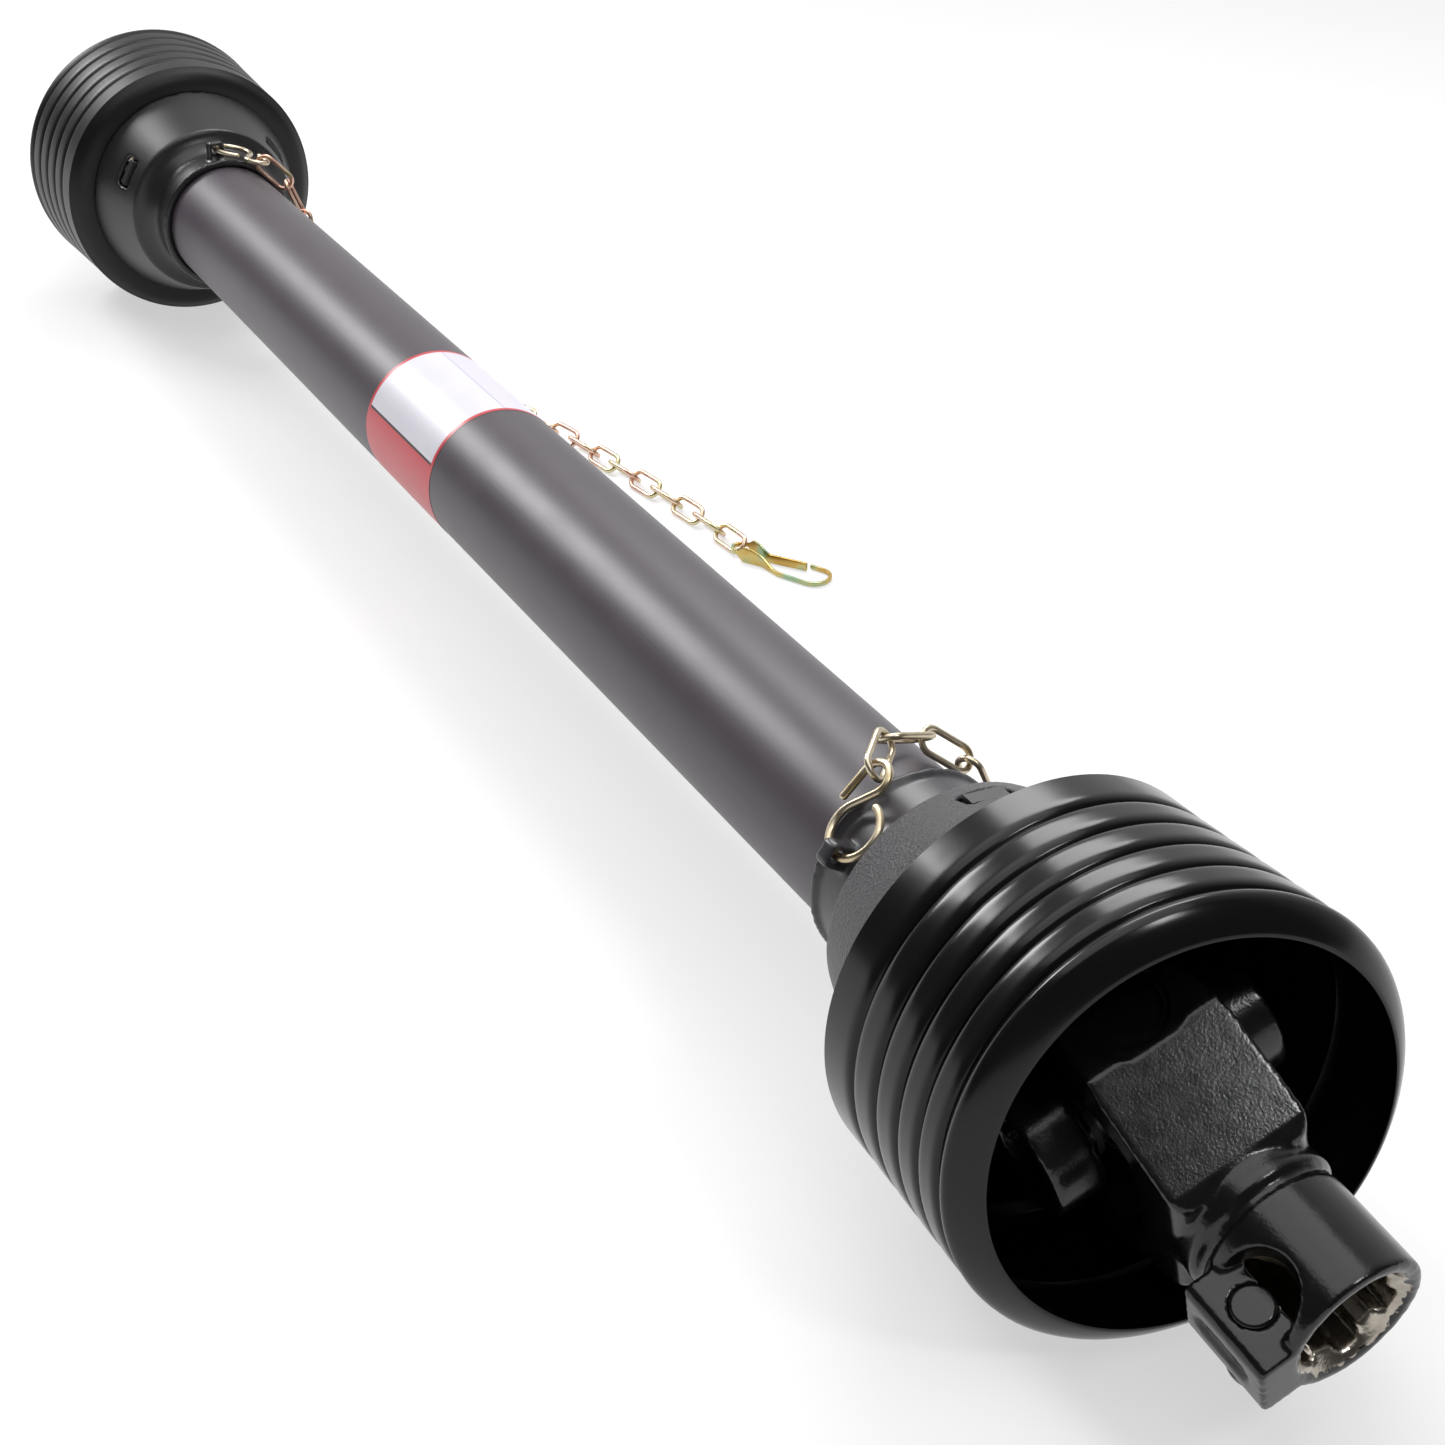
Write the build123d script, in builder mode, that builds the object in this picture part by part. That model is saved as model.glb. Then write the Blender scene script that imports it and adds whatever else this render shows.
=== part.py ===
from build123d import *
from math import atan2, cos, radians, sin
import os

# A farm power take-off drive shaft with its plastic guard, in millimetres.
# It lies closed on the rims of its two guard bells. The shaft line runs along X, the near end
# points to +X, and +Z is up. A station is a distance outwards along the shaft from a cone's lip.

# Guard tubes
guard_tube_radius = 32.5
guard_tube_wall = 3.0
guard_slide_gap = 0.6
inner_guard_wall = 2.4
inner_tube_short = 50.0
lip_to_lip = 733.0
seat_gap = 0.05

# Guard cones: collar, flare and dome
lip_radius = 36.8
lip_width = 2.0
collar_radius = 35.0
flare_start = 16.0
dome_start = 27.6
dome_start_radius = 46.2
dome_end = 65.6
dome_end_radius = 59.2
cone_wall = 3.0
tube_seat = 20.0
collar_step = 14.0
collar_clearance = 0.4
slot_station = 41.5
slot_length = 17.0
slot_width = 10.0
lug_station = 11.0
lug_height = 10.0
lug_length = 6.0
lug_width = 9.0
lug_hole = 5.4
lug_eye_radius = 40.3

# Rubber bells
bellows_wall = 2.2
valley_start = 87.5
valley_pitch = 14.0
valley_count = 5
valley_growth = 0.65
valley_width = 1.4
bulge = 1.9
mouth_radius = 65.4
mouth_lip = 10.0
mouth_bulge = 2.4
shoulder_station = 71.5
shoulder_drop = 0.4
root_length = 6.0

# Universal joints: a 27 x 74.6 mm cross in forged yokes
cross_station = 126.0
cap_radius = 13.5
cross_span = 74.6
trunnion_radius = 8.2
nipple_seat = 18.4
running_fit = 0.05
ear_radius = 21.0
ear_outer = 41.0
ear_inner = 24.5
ear_half_width = 23.5
ear_face_radius = 17.8
throat_depth = 34.0
throat_radius = 12.0
shoulder_reach = 50.0
shoulder_height = 25.0
base_reach = 54.0
circlip_thickness = 1.2
circlip_depth = 0.9

# End yokes: hub, six-spline bore and push pin
hub_radius = 23.5
hub_length = 97.0
spline_major = 34.93
spline_minor = 29.79
spline_key = 8.73
bore_lead = 2.4
pin_offset = 20.5
pin_station = 80.0
pin_radius = 6.5
boss_side = 32.0
boss_top = 10.0
boss_bottom = 13.0
boss_start = 64.5
spot_radius = 12.5
pin_travel = 6.0
spring_wire = 1.0
spring_turns = 3.0
button_radius = 8.8
button_thickness = 3.0

# Tube yokes and profile tubes
tube_hub_radius = 30.0
tube_hub_end = 96.0
groove_radius = 27.0
groove_width = 6.0
profile_corner = 37.0
profile_round = 11.5
outer_profile_wall = 3.4
inner_profile_wall = 4.0
profile_slide_gap = 0.08
roll_pin_radius = 5.0
roll_pin_reach = 70.0
free_end_gap = 20.0
far_end_gap = 45.0

# Chains, S-hooks and spring clips
link_wire = 2.4
link_inner_length = 20.0
link_inner_width = 6.6
link_slack = 0.6
hook_wire = 2.8
big_loop = 10.0
small_loop = 5.8
clip_width = 8.0
clip_thickness = 1.5
clip_length = 54.0
clip_nose = 8.0
clip_eye = 5.0
small_loop_centre = (-8.1, 16.5)
chain_height = (link_inner_width + link_wire) / 2 * sin(radians(45)) + link_wire / 2
link_half_width = link_inner_width / 2 + link_wire + 1.3

# How it lies
near_droop = 12.0
ear_tilt = 20.0
near_lug_angle = 148.0
far_lug_angle = 90.0
hook_lean = 14.0
far_clip_place = (-362.0, 132.0)
far_clip_heading = 26.6
near_clip_place = (-288.0, 66.0)
near_clip_heading = 185.0

# Where the shaft line runs: the origin is at the middle of the floor under the object
valley_radius = mouth_radius + mouth_lip - mouth_bulge - valley_growth * (valley_count - 1)
shoulder_radius = valley_radius - shoulder_drop
bell_radius = valley_radius + valley_growth * valley_count + bulge
axis_z = bell_radius
clip_turn = radians(far_clip_heading)
nose_middle = clip_length - clip_eye - clip_nose
nose_side = far_clip_place[1] + nose_middle * sin(clip_turn) + clip_nose + clip_thickness / 2
axis_y = (bell_radius - nose_side) / 2
near_reach = cross_station + hub_length * cos(radians(near_droop)) + (hub_radius - 1) * sin(radians(near_droop))
far_reach = cross_station + hub_length
near_lip_x = (lip_to_lip + far_reach - near_reach) / 2
far_lip_x = near_lip_x - lip_to_lip


def axis_point(x, y=0.0, z=0.0):
    """A point measured from the shaft line, in the part's frame."""
    return Vector(near_lip_x + x, axis_y + y, axis_z + z)


def around(angle):
    """The unit vector at an angle about the shaft line, from +Y towards +Z."""
    return Vector(0, cos(radians(angle)), sin(radians(angle)))


def on_tube(angle, lift=0.0):
    """Y and Z from the shaft line of a link lying over the guard tube at an angle about it."""
    place = around(angle) * (guard_tube_radius + link_half_width + lift)
    return place.Y, place.Z


def turned(frame, direction):
    """A direction given in a frame's own axes, in the part's axes."""
    return frame.from_local_coords(Vector(*direction)) - frame.origin


def across(frame, centre, x_dir, z_dir):
    """A working plane given in a frame's own coordinates."""
    origin = frame.from_local_coords(Vector(*centre))
    return Plane(origin=origin, x_dir=turned(frame, x_dir), z_dir=turned(frame, z_dir))


def profile_plane(frame):
    """The plane for a turned profile: its x is along the frame's axis, its y is the radius."""
    return across(frame, (0, 0, 0), (0, 0, 1), (0, 1, 0))


def axis_of(frame):
    return Axis(frame.origin, frame.z_dir)


def write(builder, label):
    """Name a finished piece and write its STEP file."""
    builder.part.label = label
    export_step(builder.part, "parts/" + label + ".step")


# Frames: each cone's z points outwards along the shaft and its x points at the lug,
# and each joint's z points along its yoke and its y along the yoke's ears.
near_cone_frame = Plane(origin=axis_point(0), x_dir=around(near_lug_angle), z_dir=(1, 0, 0))
far_cone_frame = Plane(origin=axis_point(-lip_to_lip), x_dir=around(far_lug_angle), z_dir=(-1, 0, 0))
tube_ears = around(ear_tilt)
near_cross_point = axis_point(cross_station)
far_cross_point = axis_point(-lip_to_lip - cross_station)
near_yoke_axis = Vector(1, 0, 0).rotate(Axis((0, 0, 0), tube_ears), near_droop)
near_end_frame = Plane(origin=near_cross_point, x_dir=tube_ears, z_dir=near_yoke_axis)
far_end_frame = Plane(origin=far_cross_point, x_dir=tube_ears * -1, z_dir=(-1, 0, 0))
near_tube_frame = Plane(origin=near_cross_point, x_dir=around(ear_tilt + 90), z_dir=(-1, 0, 0))
far_tube_frame = Plane(origin=far_cross_point, x_dir=around(ear_tilt + 90), z_dir=(1, 0, 0))


def dome_radius(station):
    """The outer radius of the dome, a plain cone between its two ends."""
    slope = (dome_end_radius - dome_start_radius) / (dome_end - dome_start)
    return dome_start_radius + (station - dome_start) * slope


def guard_cone(frame, label, stop_radius, bore_radius, bore_depth):
    """A moulded cone: lip, collar, flare and dome, with the tube seat inside its collar."""
    seat_end = tube_seat + cone_wall
    inside = dome_start + cone_wall
    with BuildPart() as cone:
        with BuildSketch(profile_plane(frame)):
            with BuildLine():
                Polyline(
                    (0, stop_radius),
                    (0, lip_radius),
                    (lip_width, lip_radius),
                    (lip_width, collar_radius),
                    (flare_start, collar_radius),
                )
                TangentArc((flare_start, collar_radius), (dome_start, dome_start_radius), tangent=(1, 0))
                Polyline(
                    (dome_start, dome_start_radius),
                    (dome_end, dome_end_radius),
                    (dome_end, dome_end_radius - cone_wall),
                    (inside, dome_radius(inside) - cone_wall),
                    (seat_end + 1, stop_radius + cone_wall),
                    (seat_end, stop_radius),
                    (0, stop_radius),
                )
            make_face()
        revolve(axis=axis_of(frame))
        with BuildSketch(frame):
            Circle(bore_radius)
        extrude(amount=bore_depth, mode=Mode.SUBTRACT)
        # The anti-rotation lug stands on the collar, with its eye along the shaft
        with BuildSketch(across(frame, (0, 0, lug_station - lug_length / 2), (1, 0, 0), (0, 0, 1))):
            with Locations((collar_radius + lug_height / 2 - 0.5, 0)):
                RectangleRounded(lug_height + 1, lug_width, 2)
        extrude(amount=lug_length)
        with BuildSketch(across(frame, (0, 0, lug_station - lug_length), (1, 0, 0), (0, 0, 1))):
            with Locations((lug_eye_radius, 0)):
                Circle(lug_hole / 2)
        extrude(amount=2 * lug_length, mode=Mode.SUBTRACT)
        # Three slots for the bearing ring's tabs
        for angle in (60, 180, 300):
            spoke = (cos(radians(angle)), sin(radians(angle)), 0)
            with BuildSketch(across(frame, (0, 0, slot_station), (0, 0, 1), spoke)):
                RectangleRounded(slot_width, slot_length, 1)
            extrude(amount=dome_end_radius, mode=Mode.SUBTRACT)
    write(cone, label)


def bellows(frame, label):
    """A soft bell: root sleeve, shoulder, shallow bulges between narrow valleys, inturned mouth."""
    def wall_line(inset):
        radius = shoulder_radius - inset
        station = shoulder_station
        for index in range(valley_count):
            valley = valley_start + index * valley_pitch
            floor = valley_radius + index * valley_growth - inset
            middle = (station + valley) / 2
            crest = (radius + floor) / 2 + bulge
            ThreePointArc((station, radius), (middle, crest), (valley - valley_width / 2, floor))
            Line((valley - valley_width / 2, floor), (valley + valley_width / 2, floor))
            station = valley + valley_width / 2
            radius = floor
        return station, radius

    mouth = valley_start + valley_count * valley_pitch
    rim = dome_end + seat_gap
    root = dome_end - root_length
    root_radius = dome_radius(root) - cone_wall - seat_gap
    root_end = dome_end_radius - cone_wall - seat_gap
    shoulder_rise = shoulder_radius - dome_end_radius
    swell = dome_end_radius + 0.675926 * shoulder_rise
    hollow = dome_end_radius + 0.537037 * shoulder_rise
    with BuildPart() as bell:
        with BuildSketch(profile_plane(frame)):
            with BuildLine():
                Line((rim, root_end), (rim, dome_end_radius))
                ThreePointArc((rim, dome_end_radius), (rim + 1.6, swell), (shoulder_station, shoulder_radius))
                station, radius = wall_line(0)
                crest = radius + mouth_bulge
                turn = (mouth - 1, crest - 0.4 * mouth_lip)
                ThreePointArc((station, radius), (mouth - valley_pitch / 2, crest), turn)
                ThreePointArc(turn, (mouth, crest - 0.6 * mouth_lip), (mouth, mouth_radius))
                Line((mouth, mouth_radius), (mouth - bellows_wall, mouth_radius))
                inner = (mouth - bellows_wall - 0.8, crest - mouth_lip / 2 - bellows_wall / 2)
                Line((mouth - bellows_wall, mouth_radius), inner)
            with BuildLine():
                station, radius = wall_line(bellows_wall)
                crest = radius + mouth_bulge
                ThreePointArc((station, radius), (mouth - valley_pitch / 2, crest - 0.6), inner)
                Polyline(
                    (shoulder_station, shoulder_radius - bellows_wall),
                    (rim + bellows_wall + 0.8, hollow),
                    (rim + bellows_wall, root_end - bellows_wall + 1),
                    (root, root_radius - bellows_wall),
                    (root, root_radius),
                    (rim, root_end),
                )
            make_face()
        revolve(axis=axis_of(frame))
    write(bell, label)


def bearing_ring(frame, label):
    """A split nylon ring that runs in the tube yoke's groove, held by three tabs in the slots."""
    ring_inner = groove_radius + running_fit
    ring_outer = tube_hub_radius + 3
    thickness = groove_width - 0.2
    start = slot_station - thickness / 2
    with BuildPart() as ring:
        with BuildSketch(across(frame, (0, 0, start), (1, 0, 0), (0, 0, 1))):
            Circle(ring_outer)
            with PolarLocations(0, 3, start_angle=60):
                with Locations((dome_radius(slot_station) / 2, 0)):
                    Rectangle(dome_radius(slot_station) - 1, slot_length - 3)
            Circle(ring_inner, mode=Mode.SUBTRACT)
            with Locations((-ring_outer * cos(radians(60)), ring_outer * sin(radians(60)))):
                Rectangle(2.5, 22, rotation=30, mode=Mode.SUBTRACT)
        extrude(amount=thickness)
    write(ring, label)


def tube(start, end, outer, wall, label):
    """A plain round guard tube between two places on the shaft line."""
    frame = Plane(origin=axis_point(start), z_dir=(1, 0, 0))
    with BuildPart() as pipe:
        with BuildSketch(frame):
            Circle(outer)
            Circle(outer - wall, mode=Mode.SUBTRACT)
        extrude(amount=end - start)
    write(pipe, label)


def profile_sketch(inset):
    """The rounded triangle of the telescoping drive tubes, drawn inset from the outer one."""
    with BuildSketch() as lobes:
        RegularPolygon(profile_corner, 3)
        fillet(lobes.vertices(), profile_round)
        if inset:
            offset(amount=-inset, mode=Mode.REPLACE)
    return lobes.sketch_local


def profile_tube(frame, start, length, inset, wall, label):
    """A drawn profile tube, cross-drilled for its roll pin."""
    outer = profile_sketch(inset)
    inner = profile_sketch(inset + wall)
    with BuildPart() as pipe:
        with BuildSketch(across(frame, (0, 0, start), (1, 0, 0), (0, 0, 1))):
            add(outer)
            add(inner, mode=Mode.SUBTRACT)
        extrude(amount=length)
        with BuildSketch(across(frame, (0, 0, roll_pin_reach), (0, 0, 1), (1, 0, 0))):
            Circle(roll_pin_radius + seat_gap)
        extrude(amount=tube_hub_radius + 2, both=True, mode=Mode.SUBTRACT)
    write(pipe, label)


def fork(frame):
    """Two forged ears with their throat between them, before they are machined."""
    with BuildPart() as ears:
        with BuildSketch(across(frame, (0, 0, 0), (0, 0, 1), (-1, 0, 0))) as outline:
            with BuildLine():
                Polyline(
                    (-ear_radius, ear_inner),
                    (-ear_radius, ear_outer),
                    (ear_radius * 0.7, ear_outer),
                    (shoulder_reach, shoulder_height),
                    (base_reach, shoulder_height - 4),
                    (base_reach, -shoulder_height + 4),
                    (shoulder_reach, -shoulder_height),
                    (ear_radius * 0.7, -ear_outer),
                    (-ear_radius, -ear_outer),
                    (-ear_radius, -ear_inner),
                    (throat_depth, -ear_inner),
                    (throat_depth, ear_inner),
                    close=True,
                )
            make_face()
            fillet(outline.vertices().sort_by_distance((throat_depth, 0, 0))[0:2], throat_radius)
        extrude(amount=ear_half_width, both=True)
        with BuildSketch(profile_plane(frame)):
            Circle(ear_radius)
            with Locations(((base_reach + 16) / 2, 0)):
                RectangleRounded(base_reach - 16, 2 * ear_half_width, 6)
            make_hull()
        extrude(amount=ear_outer + 1, both=True, mode=Mode.INTERSECT)
    return ears.part


def ear_machining(frame):
    """What is cut from a fork: the cap bores, their circlip grooves and the ear faces."""
    with BuildPart() as cuts:
        with BuildSketch(across(frame, (0, 0, 0), (1, 0, 0), (0, 1, 0))):
            Circle(cap_radius)
        extrude(amount=ear_outer + 2, both=True)
        for side in (1, -1):
            with BuildSketch(across(frame, (0, side * (ear_outer - 0.8), 0), (1, 0, 0), (0, side, 0))):
                Circle(ear_face_radius)
            extrude(amount=3)
            with BuildSketch(across(frame, (0, side * cross_span / 2, 0), (1, 0, 0), (0, side, 0))):
                Circle(cap_radius + circlip_depth)
            extrude(amount=circlip_thickness + 0.1)
    return cuts.part


def end_yoke(frame, label):
    """A forged end yoke: fork, beaded neck, hub with a six-spline bore, and the push pin's boss."""
    ears = fork(frame)
    machining = ear_machining(frame)
    with BuildPart() as yoke:
        add(ears)
        with BuildSketch(profile_plane(frame)):
            with BuildLine():
                Polyline(
                    (throat_depth + 4, 0),
                    (throat_depth + 4, hub_radius - 2),
                    (base_reach - 2, hub_radius + 0.6),
                    (base_reach + 4, hub_radius + 1.4),
                )
                ThreePointArc(
                    (base_reach + 4, hub_radius + 1.4),
                    (base_reach + 5.4, hub_radius + 0.6),
                    (base_reach + 6, hub_radius - 0.8),
                )
                Polyline(
                    (base_reach + 6, hub_radius - 0.8),
                    (base_reach + 8, hub_radius - 0.8),
                    (base_reach + 9.5, hub_radius),
                    (hub_length - 1, hub_radius),
                    (hub_length, hub_radius - 1),
                    (hub_length, 0),
                    (throat_depth + 4, 0),
                )
            make_face()
        revolve(axis=axis_of(frame))
        # The boss beside the hub that carries the push pin
        boss_centre = ((-boss_side - 4) / 2, (boss_top - boss_bottom) / 2)
        with BuildSketch(across(frame, (0, 0, boss_start), (1, 0, 0), (0, 0, 1))):
            with Locations(boss_centre):
                RectangleRounded(boss_side - 4, boss_top + boss_bottom, 3)
        extrude(amount=hub_length - boss_start)
        pin_plane = across(frame, (-pin_offset, boss_top, pin_station), (1, 0, 0), (0, 1, 0))
        with BuildSketch(pin_plane):
            Circle(spot_radius)
        extrude(amount=hub_radius, mode=Mode.SUBTRACT)
        with BuildSketch(across(frame, (-pin_offset, -boss_bottom, pin_station), (1, 0, 0), (0, -1, 0))):
            Circle(spot_radius)
        extrude(amount=hub_radius, mode=Mode.SUBTRACT)
        with BuildSketch(pin_plane):
            Circle(pin_radius + running_fit)
        extrude(amount=-hub_radius * 2, mode=Mode.SUBTRACT)
        # The shallow pocket in the boss's side
        with BuildSketch(across(frame, (-boss_side, -1.5, pin_station), (0, 0, 1), (-1, 0, 0))):
            SlotOverall(22, 8)
        extrude(amount=-1.5, mode=Mode.SUBTRACT)
        # The bore: six straight keyways about the minor bore, with a turned lead
        with BuildSketch(across(frame, (0, 0, throat_depth - 8), (1, 0, 0), (0, 0, 1))):
            Circle(spline_minor / 2)
            with PolarLocations(spline_major / 4, 6, start_angle=30):
                Rectangle(spline_major / 2, spline_key)
            Circle(spline_major / 2, mode=Mode.INTERSECT)
        extrude(amount=hub_length, mode=Mode.SUBTRACT)
        with BuildSketch(profile_plane(frame)):
            with BuildLine():
                Polyline(
                    (hub_length, 0),
                    (hub_length, spline_major / 2 + bore_lead),
                    (hub_length - bore_lead, spline_major / 2),
                    (hub_length - bore_lead - (spline_major - spline_minor) / 2, spline_minor / 2),
                    (hub_length - bore_lead - (spline_major - spline_minor) / 2, 0),
                    close=True,
                )
            make_face()
        revolve(axis=axis_of(frame), mode=Mode.SUBTRACT)
        add(machining, mode=Mode.SUBTRACT)
    write(yoke, label)


def tube_yoke(frame, label, profile_inset):
    """A forged tube yoke: fork, long hub with the bearing groove, and the profile tube's socket."""
    groove_middle = cross_station - slot_station
    ears = fork(frame)
    machining = ear_machining(frame)
    socket = profile_sketch(profile_inset - seat_gap)
    with BuildPart() as yoke:
        add(ears)
        with BuildSketch(profile_plane(frame)):
            with BuildLine():
                Polyline(
                    (throat_depth + 6, 0),
                    (throat_depth + 6, ear_half_width - 3),
                    (base_reach + 2, tube_hub_radius),
                    (groove_middle - groove_width / 2, tube_hub_radius),
                    (groove_middle - groove_width / 2, groove_radius),
                    (groove_middle + groove_width / 2, groove_radius),
                    (groove_middle + groove_width / 2, tube_hub_radius),
                    (tube_hub_end - 1, tube_hub_radius),
                    (tube_hub_end, tube_hub_radius - 1),
                    (tube_hub_end, 0),
                    close=True,
                )
            make_face()
        revolve(axis=axis_of(frame))
        with BuildSketch(across(frame, (0, 0, base_reach), (1, 0, 0), (0, 0, 1))):
            add(socket)
        extrude(amount=tube_hub_end, mode=Mode.SUBTRACT)
        with BuildSketch(across(frame, (0, 0, roll_pin_reach), (0, 0, 1), (1, 0, 0))):
            Circle(roll_pin_radius + seat_gap)
        extrude(amount=tube_hub_radius + 2, both=True, mode=Mode.SUBTRACT)
        add(machining, mode=Mode.SUBTRACT)
    write(yoke, label)


def roll_pin(frame, label):
    """A rolled spring pin through the hub and the profile tube."""
    with BuildPart() as pin:
        with BuildSketch(across(frame, (0, 0, roll_pin_reach), (0, 0, 1), (1, 0, 0))):
            Circle(roll_pin_radius)
            Circle(roll_pin_radius - 2, mode=Mode.SUBTRACT)
            with Locations((roll_pin_radius, 0)):
                Rectangle(2 * roll_pin_radius, 1.2, mode=Mode.SUBTRACT)
        extrude(amount=tube_hub_radius - 1, both=True)
    write(pin, label)


def cross(frame, label):
    """The forged cross: four trunnions on a waisted body with a boss for the grease nipple."""
    shoulder = 19.0
    with BuildPart() as spider:
        for direction, side in (((1, 0, 0), (0, 1, 0)), ((0, 1, 0), (1, 0, 0))):
            with BuildSketch(across(frame, (0, 0, 0), side, direction)):
                Circle(trunnion_radius)
            extrude(amount=cross_span / 2 - 3.1, both=True)
            with BuildSketch(across(frame, (0, 0, 0), side, direction)):
                Circle(trunnion_radius + 2.4)
            extrude(amount=shoulder, both=True)
        with BuildSketch(across(frame, (0, 0, 0), (1, 0, 0), (0, 0, 1))):
            Circle(15)
        extrude(amount=8.5, both=True)
        with BuildSketch(across(frame, (0, 0, 0), (0, 0, 1), (1, 1, 0))):
            Circle(4.2)
        extrude(amount=nipple_seat)
    write(spider, label)


def cross_seals(frame, label):
    """The four rubber seals between the cross's shoulders and its bearing caps."""
    start, end = 19.1, 21.4
    with BuildPart() as seals:
        for direction, side in (
            ((1, 0, 0), (0, 1, 0)),
            ((-1, 0, 0), (0, 1, 0)),
            ((0, 1, 0), (1, 0, 0)),
            ((0, -1, 0), (1, 0, 0)),
        ):
            place = tuple(start * value for value in direction)
            with BuildSketch(across(frame, place, side, direction)):
                Circle(cap_radius - 0.6)
                Circle(trunnion_radius + 0.1, mode=Mode.SUBTRACT)
            extrude(amount=end - start)
    write(seals, label)


def grease_nipple(frame, label):
    """A screwed nipple in the cross's boss: hexagon, neck and ball head."""
    plane = across(frame, (0, 0, 0), (0, 0, 1), (1, 1, 0))
    with BuildPart() as nipple:
        with BuildSketch(plane.offset(nipple_seat)):
            RegularPolygon(3.2, 6)
        extrude(amount=2)
        with BuildSketch(plane.offset(nipple_seat + 2)):
            Circle(1.7)
        extrude(amount=1.4)
        with BuildSketch(plane.offset(nipple_seat + 3)):
            Circle(2.6)
        extrude(amount=2.2, taper=20)
    write(nipple, label)


def bearing_cap(frame, direction, side, label):
    """A needle bearing cap: a drawn cup over one trunnion, pressed into its ear."""
    start = 21.5
    with BuildPart() as cap:
        place = tuple(start * value for value in direction)
        with BuildSketch(across(frame, place, side, direction)):
            Circle(cap_radius)
        extrude(amount=cross_span / 2 - start)
        chamfer(cap.edges().filter_by(GeomType.CIRCLE).sort_by(Axis(frame.origin, turned(frame, direction)))[-1], 0.8)
        with BuildSketch(across(frame, place, side, direction)):
            Circle(trunnion_radius + running_fit)
        extrude(amount=cross_span / 2 - start - 3, mode=Mode.SUBTRACT)
    write(cap, label)


def circlip(frame, direction, side, label):
    """An internal circlip with two plier eyes, in the ear's groove over its cap."""
    place = tuple(cross_span / 2 * value for value in direction)
    with BuildPart() as clip:
        with BuildSketch(across(frame, place, side, direction)):
            Circle(cap_radius + circlip_depth - 0.1)
            Circle(cap_radius - 1.8, mode=Mode.SUBTRACT)
            with Locations((0, cap_radius)):
                Rectangle(7, 8, mode=Mode.SUBTRACT)
            with Locations((4.6, cap_radius - 2.9), (-4.6, cap_radius - 2.9)):
                Circle(2.2)
            with Locations((4.6, cap_radius - 2.9), (-4.6, cap_radius - 2.9)):
                Circle(0.9, mode=Mode.SUBTRACT)
        extrude(amount=circlip_thickness)
    write(clip, label)


def push_pin(frame, label):
    """The quick release pin: land, waist and flanged button, across the hub beside the bore."""
    spring_length = spring_turns * spring_wire + pin_travel + 0.2
    tail = boss_top + 0.4
    button = boss_bottom + spring_length
    with BuildPart() as pin:
        with BuildSketch(across(frame, (-pin_offset, 0, pin_station), (0, -1, 0), (0, 0, 1))):
            with BuildLine():
                Polyline(
                    (-tail, 0),
                    (-tail, pin_radius - 0.8),
                    (-tail + 0.8, pin_radius),
                    (4.5, pin_radius),
                    (6.5, pin_radius - 3),
                    (10.5, pin_radius - 3),
                    (12.5, pin_radius),
                    (button, pin_radius),
                    (button, button_radius),
                    (button + button_thickness - 1, button_radius),
                    (button + button_thickness, button_radius - 1),
                    (button + button_thickness, 0),
                    close=True,
                )
            make_face()
        revolve(axis=Axis(frame.from_local_coords(Vector(-pin_offset, 0, pin_station)), frame.y_dir))
    write(pin, label)


def pin_spring(frame, label):
    """The compression spring between the boss and the pin's button."""
    length = (spring_turns - 1) * spring_wire + pin_travel
    mean_radius = pin_radius + 0.3 + spring_wire / 2
    base = frame.from_local_coords(Vector(-pin_offset, -boss_bottom - 0.3 - spring_wire / 2, pin_station))
    coil = Edge.make_helix(length / spring_turns, length, mean_radius, base, frame.y_dir * -1)
    with BuildPart() as spring:
        with BuildSketch(Plane(origin=coil @ 0, z_dir=coil % 0)):
            RegularPolygon(spring_wire / 2, 6)
        sweep(path=coil, is_frenet=True)
    write(spring, label)


def s_hook(cone_frame, lean, swing, label):
    """A bent wire S-hook: a big loop through the lug's eye and a small one for the chain."""
    eye = cone_frame.from_local_coords(Vector(lug_eye_radius, 0, lug_station))
    normal = cone_frame.x_dir.rotate(Axis((0, 0, 0), (1, 0, 0)), -lean)
    sideways = normal.cross(Vector(1, 0, 0))
    heading = Vector(cos(radians(swing)), 0, 0) + sideways * sin(radians(swing))
    plane = Plane(origin=eye + sideways * big_loop, x_dir=heading, z_dir=normal)
    start = plane.from_local_coords((0, big_loop, 0))
    with BuildPart() as hook:
        with BuildLine(plane) as wire:
            big = CenterArc((0, 0), big_loop, 90, -303)
            small = CenterArc(small_loop_centre, small_loop, -33, 213)
            Line(big @ 1, small @ 0)
            Line(small @ 1, small @ 1 + (small % 1) * 12)
        with BuildSketch(Plane(origin=start, z_dir=plane.x_dir)):
            Circle(hook_wire / 2)
        sweep(path=wire.line.wires()[0])
    write(hook, label)
    return Plane(origin=plane.from_local_coords(Vector(*small_loop_centre, 0)), z_dir=normal)


def chain_link():
    """One welded link, lying along X: a bar of round-cornered section bent to a long ring."""
    outer_length = link_inner_length + 2 * link_wire
    outer_width = link_inner_width + 2 * link_wire
    with BuildPart() as link:
        with BuildSketch(Plane.XY.offset(-link_wire / 2)) as outer:
            Rectangle(outer_length, outer_width)
            chamfer(outer.vertices(), outer_width * 0.29)
        extrude(amount=link_wire)
        with BuildSketch(Plane.XY.offset(-link_wire / 2)) as inner:
            Rectangle(link_inner_length, link_inner_width)
            chamfer(inner.vertices(), link_inner_width * 0.29)
        extrude(amount=link_wire, mode=Mode.SUBTRACT)
        chamfer(link.faces().filter_by(Axis.Z).edges(), link_wire * 0.29)
    return link.part


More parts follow.
